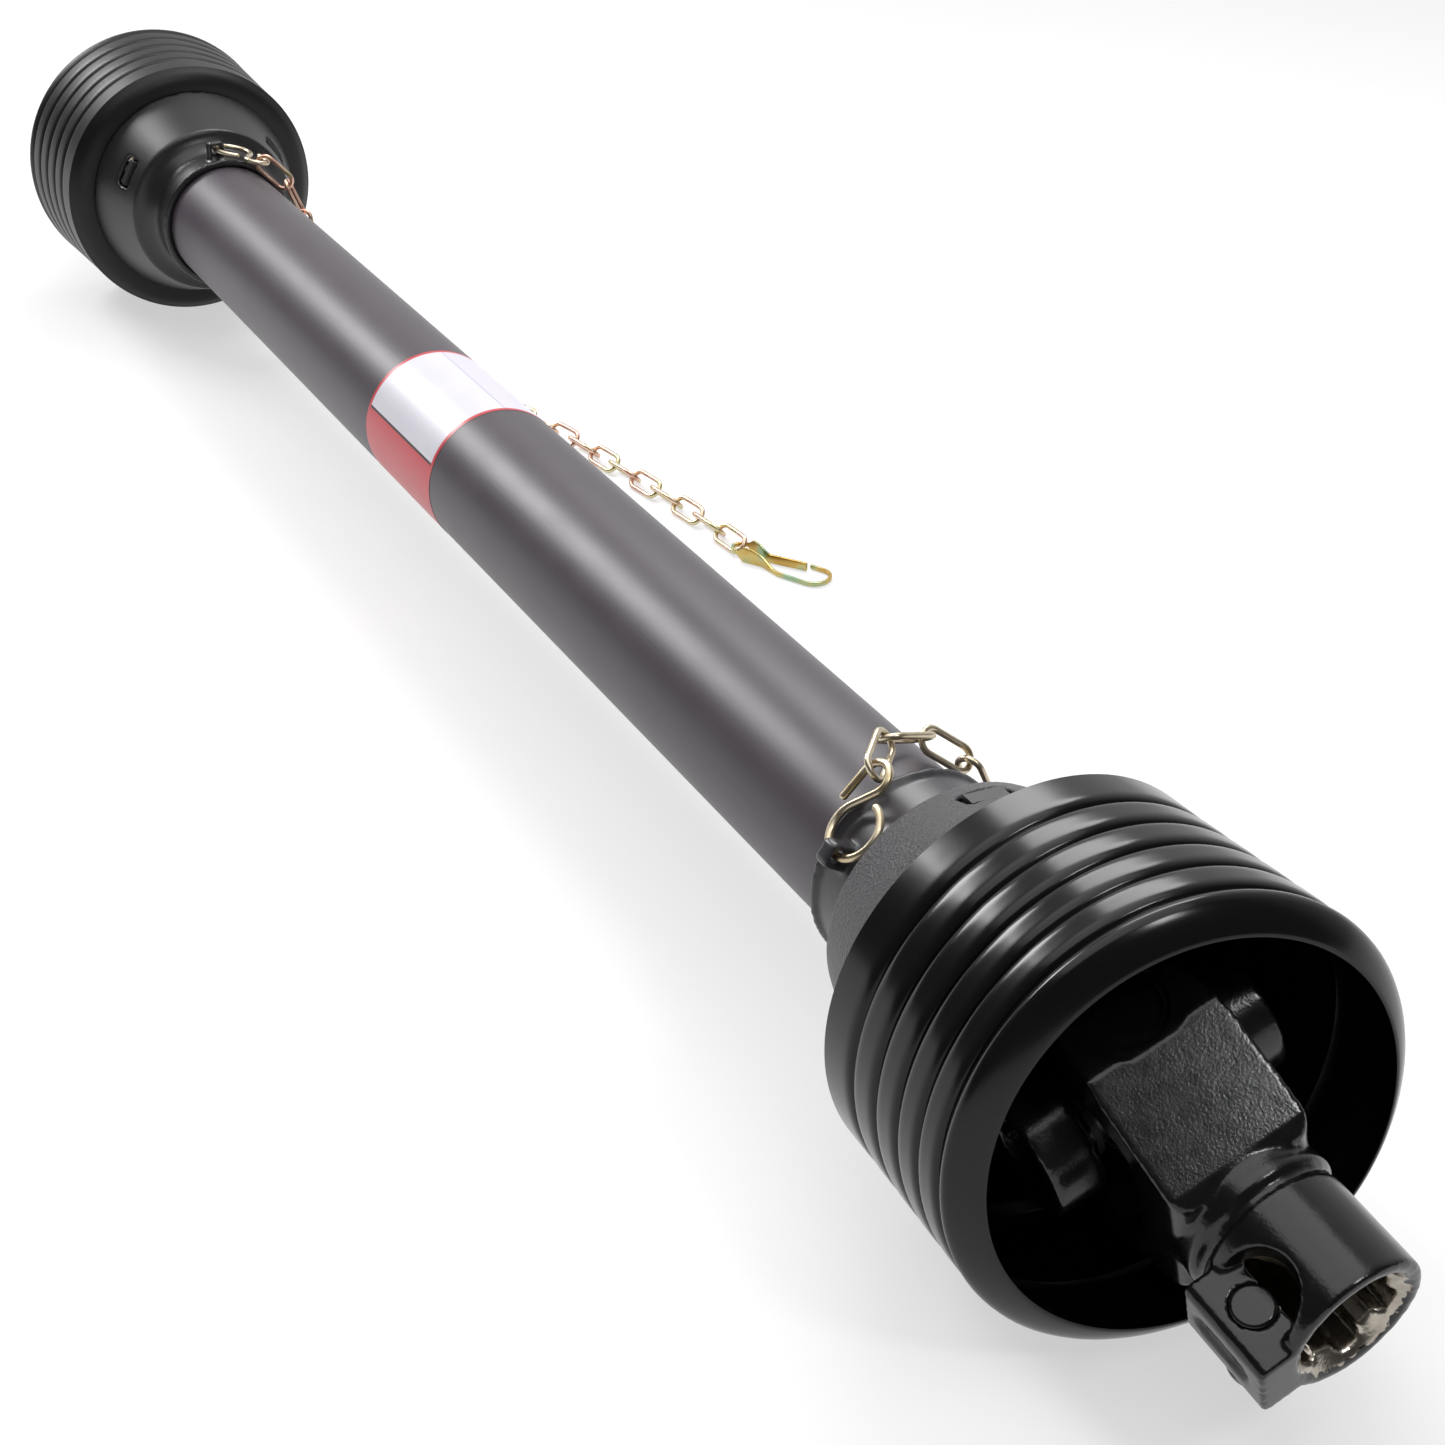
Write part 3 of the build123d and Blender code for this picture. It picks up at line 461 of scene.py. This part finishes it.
# Bells
# Each bell is soft black rubber, moulded with shallow bulges between narrow folds so that it
# yields when the joint bends. The near one sits a little askew at its mouth.
valley_start, valley_pitch, valley_count = 87.5, 14.0, 5
band_start, band_end = 71.5, 144.2
swell_height, groove_depth, groove_reach = 1.85, 0.45, 0.55
askew_start, mouth_station = 100.0, 157.5
lean_across, lean_up, mouth_shift = 0.121, -0.061, 0.4
bell_wall = 2.2


def bell_profile():
    """Stations and radii. The radius is a slow ramp outwards, plus a swell that rises steeply from the
    nearest valley and levels off, less a narrow bell-curve groove at the valley itself."""
    stations = np.linspace(band_start, band_end, 200)
    valleys = valley_start + valley_pitch * np.arange(valley_count)
    nearest = np.abs(stations[:, None] - valleys).min(1)
    ramp = np.interp(stations, [band_start, valley_start, band_end], [69.9, 70.4, 73.05])
    swell = swell_height * (1 - (1 - np.clip(2 * nearest / valley_pitch, 0, 1)) ** 5)
    groove = groove_depth * np.exp(-((nearest / groove_reach) ** 2))
    middle = np.stack([stations, ramp + swell - groove], 1)
    first = np.stack([[65.7, 65.9, 66.6, 67.8, 69.4], [59.2, 62.5, 65.6, 67.9, 69.4]], 1)
    curl = np.array(
        [
            (145.4, 74.2), (146.8, 74.9), (148.4, 75.25), (149.8, 75.0), (151.2, 74.1), (152.8, 72.6),
            (154.4, 70.7), (155.8, 68.7), (156.8, 67.0), (157.25, 65.95), (157.2, 65.5), (156.7, 65.4),
            (156.0, 66.0), (155.0, 67.6), (153.6, 69.6), (152.0, 71.2), (150.2, 72.3), (147.5, 72.9),
        ]
    )
    outer = np.concatenate([first, middle, curl])
    back = np.stack([stations[::-4], (ramp + swell)[::-4] - bell_wall], 1)
    root = np.stack([[69.4, 68.0, 67.2, 59.6, 59.6, 65.7], [66.5, 62.0, 55.2, 52.4, 54.1, 56.1]], 1)
    return np.concatenate([outer, back, root])


def bell(name, lip, outwards, askew):
    """The turned bell. Askew leans its outer end along X in proportion to height and side, and shifts
    it sideways, more and more towards the mouth."""
    points = turned_points(bell_profile(), lip, outwards, 128)
    station = np.abs(points[..., 0] - lip[0])
    share = np.clip((station - askew_start) / (mouth_station - askew_start), 0, 1) ** 1.6
    tilt = lean_across * (points[..., 1] - lip[1]) + lean_up * (points[..., 2] - lip[2])
    points[..., 0] += askew * share * tilt
    points[..., 1] += askew * share * mouth_shift
    piece = put_mesh(name, points, closed_along=True)
    face_outwards(piece)
    return piece


def moulded_rubber(name, sheen):
    """Black soft rubber: slight dusty bloom, a fine skin and faint handling waves 18 mm across."""
    material, tree, shader, place = new_material(name)
    bloom = add_node(tree, "ShaderNodeTexNoise", {"Scale": 30.0, "Detail": 5.0}, {"Vector": place})
    waves = add_node(tree, "ShaderNodeTexNoise", {"Scale": 55.0, "Detail": 2.0}, {"Vector": place})
    tone = add_node(
        tree,
        "ShaderNodeMix",
        {"data_type": "RGBA", 6: linear("#0b0b0c"), 7: linear("#121113")},
        {0: bloom.outputs[0]},
    )
    dull = add_node(
        tree, "ShaderNodeMapRange", {"To Min": sheen, "To Max": sheen + 0.1}, {"Value": bloom.outputs[0]}
    )
    tree.links.new(tone.outputs[2], shader.inputs["Base Color"])
    tree.links.new(dull.outputs[0], shader.inputs["Roughness"])
    shader.inputs["Specular IOR Level"].default_value = 0.32
    wrinkle(tree, shader, waves.outputs[0], 0.16, 0.5)
    return material


near_bell = bell("near_bell_skin", near_lip, 1, 1.0)
dress(near_bell, moulded_rubber("glossy black rubber", 0.14), "near_guard", "bell_rubber", "near_bellows")
far_bell = bell("far_bell_skin", far_lip, -1, 0.0)
dress(far_bell, moulded_rubber("dusty black rubber", 0.36), "far_guard", "bell_rubber", "far_bellows")


# Bearing rings
# A split ring of black nylon runs in each tube yoke's groove and carries the cone on its tabs.
def black_nylon():
    """Black, slightly waxy nylon with grease-stained patches."""
    material, tree, shader, place = new_material("black nylon")
    stain = add_node(tree, "ShaderNodeTexNoise", {"Scale": 80.0, "Detail": 4.0}, {"Vector": place})
    tone = add_node(
        tree,
        "ShaderNodeMix",
        {"data_type": "RGBA", 6: linear("#161516"), 7: linear("#262524")},
        {0: stain.outputs[0]},
    )
    tree.links.new(tone.outputs[2], shader.inputs["Base Color"])
    shader.inputs["Roughness"].default_value = 0.45
    wrinkle(tree, shader, stain.outputs[0], 0.2, 0.1)
    return material


nylon = black_nylon()
for end, body in (("near", "near_guard"), ("far", "far_guard")):
    ring = fair_copy(end + "_bearing_ring", end + "_ring_moulding", 0.3)
    dress(ring, nylon, body, "nylon", end + "_bearing_ring")


# Drive tubes and inner guard tube
# The lemon-lobed drive tubes are cold drawn steel, greased where they slide. The inner guard tube
# is the same polyethylene as the outer. All three are hidden until the shaft is drawn out.
def drawn_steel(name, dark, pale, roughness, grain):
    """Drawn or ground steel: fine lines along X, a grey metal with oil-darkened patches."""
    material, tree, shader, place = new_material(name)
    stretched = add_node(tree, "ShaderNodeMapping", {"Scale": grain}, {"Vector": place})
    lines = add_node(
        tree, "ShaderNodeTexNoise", {"Scale": 1.0, "Detail": 4.0}, {"Vector": stretched.outputs[0]}
    )
    oil = add_node(tree, "ShaderNodeTexNoise", {"Scale": 45.0, "Detail": 3.0}, {"Vector": place})
    tone = add_node(
        tree, "ShaderNodeMix", {"data_type": "RGBA", 6: linear(dark), 7: linear(pale)}, {0: oil.outputs[0]}
    )
    dull = add_node(
        tree,
        "ShaderNodeMapRange",
        {"To Min": roughness - 0.06, "To Max": roughness + 0.12},
        {"Value": lines.outputs[0]},
    )
    tree.links.new(tone.outputs[2], shader.inputs["Base Color"])
    tree.links.new(dull.outputs[0], shader.inputs["Roughness"])
    shader.inputs["Metallic"].default_value = 1.0
    wrinkle(tree, shader, lines.outputs[0], 0.2, 0.05)
    return material


def coat_node(node, material):
    """A CAD node that stays as it is gets its finish in its own material slot."""
    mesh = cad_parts[node].data
    mesh.materials.clear()
    mesh.materials.append(material)


greased_steel = drawn_steel("cold drawn greased steel", "#5d5c5b", "#8f8d8a", 0.32, (8, 700, 700))
coat_node("inner_profile_tube", greased_steel)
coat_node("outer_profile_tube", greased_steel)
coat_node("inner_guard_tube", guard_tube.data.materials[0])


# Yokes
# The yokes are drop forged steel, painted gloss black over the forged skin. The end yoke's bore is
# broached with six straight keyways and left bare and bright, with its lead turned at the mouth.
ear_angle, droop = np.radians(20), np.radians(12)
tube_ears = np.array([0, np.cos(ear_angle), np.sin(ear_angle)])
lip_to_cross = np.array([126.0, 0, 0])
near_cross_point = near_lip + lip_to_cross
far_cross_point = far_lip - lip_to_cross
fall = np.array([0, np.sin(ear_angle), -np.cos(ear_angle)])
near_yoke_axis = np.array([np.cos(droop), 0, 0]) + np.sin(droop) * fall
pin_station, pin_offset = 80.0, 20.5


def line_distance(tree, place, point, axis):
    """Two sockets: how far a place lies from a line, in metres, and how far along it."""
    along = tuple(Vector(axis).normalized())
    centre = add_node(
        tree, "ShaderNodeVectorMath", {"operation": "SUBTRACT", 1: tuple(point / 1000)}, {0: place}
    )
    reach = add_node(
        tree, "ShaderNodeVectorMath", {"operation": "DOT_PRODUCT", 1: along}, {0: centre.outputs[0]}
    )
    foot = add_node(
        tree, "ShaderNodeVectorMath", {"operation": "SCALE", 0: along}, {"Scale": reach.outputs["Value"]}
    )
    parts = {0: centre.outputs[0], 1: foot.outputs[0]}
    offset = add_node(tree, "ShaderNodeVectorMath", {"operation": "SUBTRACT"}, parts)
    radius = add_node(tree, "ShaderNodeVectorMath", {"operation": "LENGTH"}, {0: offset.outputs[0]})
    return radius.outputs["Value"], reach.outputs["Value"]


def gloss_paint(name):
    """Gloss black paint: orange peel 0.9 mm across over the forging's scale and 30 mm waves."""
    material, tree, shader, place = new_material(name)
    peel = add_node(tree, "ShaderNodeTexNoise", {"Scale": 1100.0, "Detail": 2.0}, {"Vector": place})
    scale = add_node(tree, "ShaderNodeTexNoise", {"Scale": 200.0, "Detail": 4.0}, {"Vector": place})
    waves = add_node(tree, "ShaderNodeTexNoise", {"Scale": 33.0, "Detail": 1.0}, {"Vector": place})
    both = add_node(tree, "ShaderNodeMath", {"operation": "ADD"}, {0: peel.outputs[0], 1: scale.outputs[0]})
    all_three = {"operation": "MULTIPLY_ADD", 1: 5.0}
    both = add_node(tree, "ShaderNodeMath", all_three, {0: waves.outputs[0], 2: both.outputs[0]})
    shades = {"data_type": "RGBA", 6: linear("#0a0a0b"), 7: linear("#131314")}
    paint = add_node(tree, "ShaderNodeMix", shades, {0: scale.outputs[0]})
    dull = add_node(
        tree, "ShaderNodeMapRange", {"To Min": 0.14, "To Max": 0.27}, {"Value": scale.outputs[0]}
    )
    tree.links.new(paint.outputs[2], shader.inputs["Base Color"])
    tree.links.new(dull.outputs[0], shader.inputs["Roughness"])
    wrinkle(tree, shader, both.outputs[0], 0.5, 0.1)
    return material, tree, shader, place, paint.outputs[2]


def bored_forging(name, axis, cross_point, pin_axis, pin_side):
    """The same paint. Steel is bare within 22 mm of the bore's line and over 37 mm from the cross, and
    within 13.6 mm of the pin's line only where the bore's teeth are, under 18 mm from its line."""
    material, tree, shader, place, paint = gloss_paint(name)
    radius, reach = line_distance(tree, place, cross_point, axis)
    pin_point = cross_point + pin_station * np.array(axis) + pin_offset * np.array(pin_side)
    pin_radius, _ = line_distance(tree, place, pin_point, pin_axis)
    chips = add_node(tree, "ShaderNodeTexNoise", {"Scale": 300.0, "Detail": 4.0}, {"Vector": place})
    ragged = add_node(
        tree, "ShaderNodeMath", {"operation": "MULTIPLY_ADD", 1: 0.006}, {0: chips.outputs[0], 2: radius}
    )
    bore = add_node(
        tree, "ShaderNodeMapRange", {"From Min": 0.0222, "From Max": 0.0217}, {"Value": ragged.outputs[0]}
    )
    depth = add_node(tree, "ShaderNodeMapRange", {"From Min": 0.036, "From Max": 0.038}, {"Value": reach})
    clear = add_node(
        tree, "ShaderNodeMapRange", {"From Min": 0.0134, "From Max": 0.0138}, {"Value": pin_radius}
    )
    deep = add_node(
        tree, "ShaderNodeMath", {"operation": "MULTIPLY"}, {0: bore.outputs[0], 1: depth.outputs[0]}
    )
    teeth = add_node(
        tree, "ShaderNodeMapRange", {"From Min": 0.0182, "From Max": 0.0179}, {"Value": radius}
    )
    open_to = add_node(
        tree, "ShaderNodeMath", {"operation": "MAXIMUM"}, {0: teeth.outputs[0], 1: clear.outputs[0]}
    )
    bare = add_node(
        tree, "ShaderNodeMath", {"operation": "MULTIPLY"}, {0: deep.outputs[0], 1: open_to.outputs[0]}
    )
    shades = {"data_type": "RGBA", 6: linear("#8a8278"), 7: linear("#cdc6ba")}
    steel = add_node(tree, "ShaderNodeMix", shades, {0: chips.outputs[0]})
    parts = {0: bare.outputs[0], 6: paint, 7: steel.outputs[2]}
    tone = add_node(tree, "ShaderNodeMix", {"data_type": "RGBA"}, parts)
    tree.links.new(tone.outputs[2], shader.inputs["Base Color"])
    tree.links.new(bare.outputs[0], shader.inputs["Metallic"])
    return material


near_ears = np.cross(near_yoke_axis, tube_ears)
far_ears = np.cross([-1, 0, 0], -tube_ears)
near_name = "black paint over forged steel, near yoke"
near_paint = bored_forging(near_name, near_yoke_axis, near_cross_point, near_ears, -tube_ears)
far_name = "black paint over forged steel, far yoke"
far_paint = bored_forging(far_name, (-1, 0, 0), far_cross_point, far_ears, tube_ears)
plain_paint = gloss_paint("black paint over forged steel, tube yokes")[0]
for node, name, voxel, paint, body in (
    ("near_end_yoke", "near_end_forging", 0.9, near_paint, "near_end"),
    ("far_end_yoke", "far_end_forging", 1.0, far_paint, "far_end"),
    ("near_tube_yoke", "near_tube_forging", 1.1, plain_paint, "near_shaft"),
    ("far_tube_yoke", "far_tube_forging", 1.1, plain_paint, "far_shaft"),
):
    dress(even_copy(node, name, voxel, 4), paint, body, "painted_forging", node)


# Crosses, caps, circlips and pins
# The crosses are forged and ground, with rubber seals and a screwed nipple. The joints are sprayed
# black when assembled, all but the circlips on the right. Springs and rolled pins are blued.
forged_steel = drawn_steel("forged bearing steel", "#3c3b3b", "#5e5c5a", 0.4, (300, 300, 300))
spring_steel = drawn_steel("blued spring steel", "#2f3034", "#4a4b50", 0.35, (400, 400, 400))
zinc_plate = drawn_steel("bright zinc plate", "#b09a5e", "#cfc391", 0.3, (350, 350, 350))


def seal_rubber():
    """Black nitrile seals, matt with a film of grease."""
    material, tree, shader, place = new_material("nitrile rubber")
    film = add_node(tree, "ShaderNodeTexNoise", {"Scale": 160.0, "Detail": 3.0}, {"Vector": place})
    tone = add_node(
        tree,
        "ShaderNodeMix",
        {"data_type": "RGBA", 6: linear("#121112"), 7: linear("#1d1c1c")},
        {0: film.outputs[0]},
    )
    tree.links.new(tone.outputs[2], shader.inputs["Base Color"])
    shader.inputs["Roughness"].default_value = 0.5
    wrinkle(tree, shader, film.outputs[0], 0.2, 0.1)
    return material


nitrile = seal_rubber()
for end in ("near", "far"):
    cross_body = end + "_cross_body"
    small = [
        ("cross", cross_body, "cross_steel", forged_steel, 0.3),
        ("cross_seals", cross_body, "seal_rubber", nitrile, 0.2),
        ("grease_nipple", cross_body, "zinc_steel", zinc_plate, 0.1),
        ("roll_pin", end + "_shaft", "spring_steel", spring_steel, 0.2),
        ("push_pin", end + "_pin", "painted_forging", plain_paint, 0.3),
        ("pin_spring", end + "_end", "spring_steel", spring_steel, 0.0),
    ]
    ears = (("tube_yoke", end + "_shaft", "left"), ("tube_yoke", end + "_shaft", "right"))
    ears += (("end_yoke", end + "_end", "top"), ("end_yoke", end + "_end", "bottom"))
    for part, body, side in ears:
        clip_finish = ("gold_zinc", zinc_plate) if side == "right" else ("painted_forging", plain_paint)
        small.append((part + "_cap_" + side, body, "painted_forging", plain_paint, 0.3))
        small.append((part + "_circlip_" + side, body, *clip_finish, 0.15))
    for part, body, slot, material, edge in small:
        piece = fair_copy(end + "_" + part, end + "_" + part + "_finish", edge)
        dress(piece, material, body, slot, end + "_" + part)
        if part == "pin_spring":
            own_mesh(piece)


# Chains, S-hooks and snap clips
# The restraint chains are welded from 2.4 mm wire and yellow zinced after welding, so their colour
# runs from gold to pink and green. The hooks are bent wire and the clips bent strip.
def yellow_zinc(name, first, second, third):
    """Chromated zinc: an interference tint that drifts over some 13 mm, on a bright rolled wire."""
    material, tree, shader, place = new_material(name)
    drift = add_node(tree, "ShaderNodeTexNoise", {"Scale": 75.0, "Detail": 2.0}, {"Vector": place})
    spots = add_node(tree, "ShaderNodeTexNoise", {"Scale": 420.0, "Detail": 4.0}, {"Vector": place})
    ramp = add_node(tree, "ShaderNodeValToRGB", links={"Fac": drift.outputs[0]})
    stops = ramp.color_ramp.elements
    stops[0].position, stops[0].color = 0.36, linear(first)
    stops[1].position, stops[1].color = 0.64, linear(third)
    middle = stops.new(0.5)
    middle.color = linear(second)
    dull = add_node(
        tree, "ShaderNodeMapRange", {"To Min": 0.22, "To Max": 0.4}, {"Value": spots.outputs[0]}
    )
    tree.links.new(ramp.outputs[0], shader.inputs["Base Color"])
    tree.links.new(dull.outputs[0], shader.inputs["Roughness"])
    shader.inputs["Metallic"].default_value = 1.0
    wrinkle(tree, shader, spots.outputs[0], 0.15, 0.1)
    return material


link_wire, hook_wire = 1.2, 1.4


def bar_points(path, normal, radius, sides, closed=False):
    """A round bar along a planar path. Its section is a circle in the plane of the path's normal and
    of the side, which is square to the normal and to the line between each point's neighbours."""
    before = np.roll(path, 1, 0)
    after = np.roll(path, -1, 0)
    if not closed:
        before[0] = path[0]
        after[-1] = path[-1]
    tangent = after - before
    tangent /= np.linalg.norm(tangent, axis=1)[:, None]
    side = np.cross(tangent, normal)
    angle = np.linspace(0, 2 * np.pi, sides, endpoint=False)[None, :, None]
    return path[:, None] + radius * (np.cos(angle) * side[:, None] + np.sin(angle) * normal)


def link_frames(node, count):
    """Each CAD link's centre and its three axes, long one first: the mean and the principal
    directions of its corners."""
    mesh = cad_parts[node].data
    corners = np.empty(len(mesh.vertices) * 3)
    mesh.vertices.foreach_get("co", corners)
    links = corners.reshape(count, -1, 3) * 1000
    frames = []
    for link in links:
        unique = np.unique(link.round(3), axis=0)
        centre = unique.mean(0)
        axes = np.linalg.svd(unique - centre, full_matrices=False)[2]
        frames.append((centre, axes))
    return frames


def link_ring(half_straight=6.7, bend=4.5, steps=40):
    """A link's centre line in its own plane: two straights and two half circles, evenly spaced."""
    perimeter = 4 * half_straight + 2 * np.pi * bend
    run = np.linspace(0, perimeter, steps, endpoint=False)
    half = perimeter / 2
    turned = run >= half
    local = np.where(turned, run - half, run)
    turn = np.clip((local - 2 * half_straight) / bend, 0, np.pi)
    x = np.where(local < 2 * half_straight, -half_straight + local, half_straight + bend * np.sin(turn))
    y = np.where(local < 2 * half_straight, -bend, -bend * np.cos(turn))
    flip = np.where(turned, -1.0, 1.0)
    return np.stack([x * flip, y * flip, np.zeros(steps)], 1)


def chain(node, name, count):
    """All the links of one chain as one piece, each in its CAD link's place."""
    ring = link_ring()
    grids = []
    for centre, axes in link_frames(node, count):
        normal = np.cross(axes[0], axes[1])
        path = centre + ring[:, :1] * axes[0] + ring[:, 1:2] * axes[1]
        grids.append(bar_points(path, normal, link_wire, 10, closed=True))
    grid = np.array(grids)
    links, rows, columns = grid.shape[:3]
    index = np.arange(links * rows * columns).reshape(links, rows, columns)
    wrapped = np.concatenate([index, index[:, :1]], 1)
    wrapped = np.concatenate([wrapped, wrapped[:, :, :1]], 2)
    faces = np.stack(
        [wrapped[:, :-1, :-1], wrapped[:, :-1, 1:], wrapped[:, 1:, 1:], wrapped[:, 1:, :-1]], -1
    )
    mesh = bpy.data.meshes.new(name)
    mesh.from_pydata((grid.reshape(-1, 3) / 1000).tolist(), [], faces.reshape(-1, 4).tolist())
    piece = bpy.data.objects.new(name, mesh)
    bpy.context.scene.collection.objects.link(piece)
    face_outwards(piece)
    return piece


def arc(centre, radius, start, sweep, step=3.0):
    """Points of an arc in a plane, angles in degrees."""
    angle = np.radians(start + np.linspace(0, sweep, int(abs(sweep) / step) + 2))
    return np.stack([centre[0] + radius * np.cos(angle), centre[1] + radius * np.sin(angle)], 1)


def line_lengths(points):
    """How far along a line each of its points lies."""
    return np.concatenate([[0], np.cumsum(np.linalg.norm(np.diff(points, axis=0), axis=1))])


def points_along(points, lengths):
    """Points of a flat line at given lengths along it."""
    knots = line_lengths(points)
    return np.stack([np.interp(lengths, knots, points[:, 0]), np.interp(lengths, knots, points[:, 1])], 1)


lug_station, lug_radius = 11.0, 40.3
big_loop, small_loop = 10.0, 5.8
hook_lean, rounded_end = 14, 0.9


def s_hook(name, lip, outwards, lug_angle, swing):
    """Big loop through the lug, small loop for the chain and a straight tail, in a leaning plane. The
    wire's ends are rounded over 0.9 mm."""
    lug = np.radians(lug_angle)
    eye = lip + np.array([outwards * lug_station, lug_radius * np.cos(lug), lug_radius * np.sin(lug)])
    lean = lug - np.radians(hook_lean)
    normal = np.array([0, np.cos(lean), np.sin(lean)])
    sideways = np.cross(normal, [1.0, 0, 0])
    heading = np.array([np.cos(np.radians(swing)), 0, 0]) + sideways * np.sin(np.radians(swing))
    crosswise = np.cross(normal, heading)
    centre = eye + sideways * big_loop
    tail = np.stack([np.full(8, -13.9), np.linspace(16.0, 4.5, 8)], 1)
    flat = np.concatenate([arc((0, 0), big_loop, 90, -303), arc((-8.1, 16.5), small_loop, -33, 213), tail])
    even = np.linspace(0, line_lengths(flat)[-1], 220)
    flat = points_along(flat, even)
    path = centre + flat[:, :1] * heading + flat[:, 1:] * crosswise
    points = bar_points(path, normal, hook_wire, 16)
    ends = 1 - np.clip(1 - np.minimum(even, even[-1] - even) / rounded_end, 0, 1) ** 2 * 0.45
    points = path[:, None] + (points - path[:, None]) * ends[:, None, None]
    piece = put_mesh(name, points, capped=True)
    face_outwards(piece)
    return piece


def rounded_run(corners, radii, step=0.5):
    """A polyline with its corners rounded, each by an arc tangent to both its runs."""
    corners = np.asarray(corners, float)
    points = [corners[:1]]
    for before, corner, after, radius in zip(corners[:-2], corners[1:-1], corners[2:], radii):
        back = (before - corner) / np.linalg.norm(before - corner)
        forth = (after - corner) / np.linalg.norm(after - corner)
        half = np.arccos(np.clip(back @ forth, -1, 1)) / 2
        reach = radius / np.tan(half)
        middle = corner + (back + forth) / np.linalg.norm(back + forth) * radius / np.sin(half)
        start = corner + back * reach - middle
        end = corner + forth * reach - middle
        share = np.linspace(0, 1, 16)[:, None]
        swing = np.arccos(np.clip(start @ end / radius**2, -1, 1))
        spoke = np.sin((1 - share) * swing) * start + np.sin(share * swing) * end
        points.append(middle + spoke / np.sin(swing))
    points.append(corners[-1:])
    run = np.concatenate(points)
    return points_along(run, np.arange(0, line_lengths(run)[-1], step))


strip_half = 0.75


def snap_clip(name, place, heading):
    """Bent strip: its line lies on the floor, its height follows the clip's length, and its section
    is a rectangle with rounded corners, as a superellipse."""
    corners = [(34, 4.8), (12, 1.4), (-5, 6.2), (-5, -6), (14, -4), (26, -8), (49, -8), (49, 8), (34, 8)]
    run = rounded_run(corners, (5, 5.6, 5.4, 8, 8, 7.5, 7.5))
    low = np.interp(run[:, 0], [-7, 0.5, 3.5, 51], [3.33, 3.33, 0, 0])
    sprung = np.interp(run[:, 0], [-7, 0.5, 3.5, 9, 15, 51], [5.43, 5.43, 7.9, 7.6, 4.4, 4.2])
    hook = np.interp(run[:, 0], [-7, 0.5, 3.5, 9, 22, 51], [5.43, 5.43, 7.9, 7.4, 2.3, 2.2])
    high = np.where(np.arange(len(run)) < np.argmin(run[:, 0]), sprung, hook)
    tangent = np.gradient(run, axis=0)
    tangent /= np.linalg.norm(tangent, axis=1)[:, None]
    across = np.stack([-tangent[:, 1], tangent[:, 0]], 1)
    angle = np.linspace(0, 2 * np.pi, 20, endpoint=False)
    thick = strip_half * np.sign(np.cos(angle)) * np.abs(np.cos(angle)) ** 0.35
    tall = np.sign(np.sin(angle)) * np.abs(np.sin(angle)) ** 0.35
    flat = run[:, None] + across[:, None] * thick[None, :, None]
    height = (low + high)[:, None] / 2 + (high - low)[:, None] / 2 * tall
    turn = np.radians(heading)
    x = near_lip[0] + place[0] + flat[..., 0] * np.cos(turn) - flat[..., 1] * np.sin(turn)
    y = near_lip[1] + place[1] + flat[..., 0] * np.sin(turn) + flat[..., 1] * np.cos(turn)
    piece = put_mesh(name, np.stack([x, y, height], -1), capped=True)
    face_outwards(piece)
    return piece


pink_zinc = yellow_zinc("yellow zinc, chain", "#cfa795", "#dfc0a8", "#cfc49a")
gold_zinc = yellow_zinc("yellow zinc, hooks", "#c9bba2", "#d6cab2", "#bfae8c")
green_zinc = yellow_zinc("yellow zinc, clips", "#bb9a52", "#c3ae6c", "#93ad8c")
dress(chain("far_chain", "far_chain_links", 24), pink_zinc, "far_guard", "gold_zinc", "far_chain")
dress(chain("near_chain", "near_chain_links", 21), gold_zinc, "near_guard", "gold_zinc", "near_chain")
dress(s_hook("far_hook_wire", far_lip, -1, 90, -87), gold_zinc, "far_guard", "gold_zinc", "far_s_hook")
dress(s_hook("near_hook_wire", near_lip, 1, 148, 0), gold_zinc, "near_guard", "gold_zinc", "near_s_hook")
far_clip = snap_clip("far_clip_strip", (-362, 132), 26.6)
dress(far_clip, green_zinc, "far_guard", "gold_zinc", "far_spring_clip")
near_clip = snap_clip("near_clip_strip", (-288, 66), 185)
dress(near_clip, green_zinc, "near_guard", "gold_zinc", "near_spring_clip")
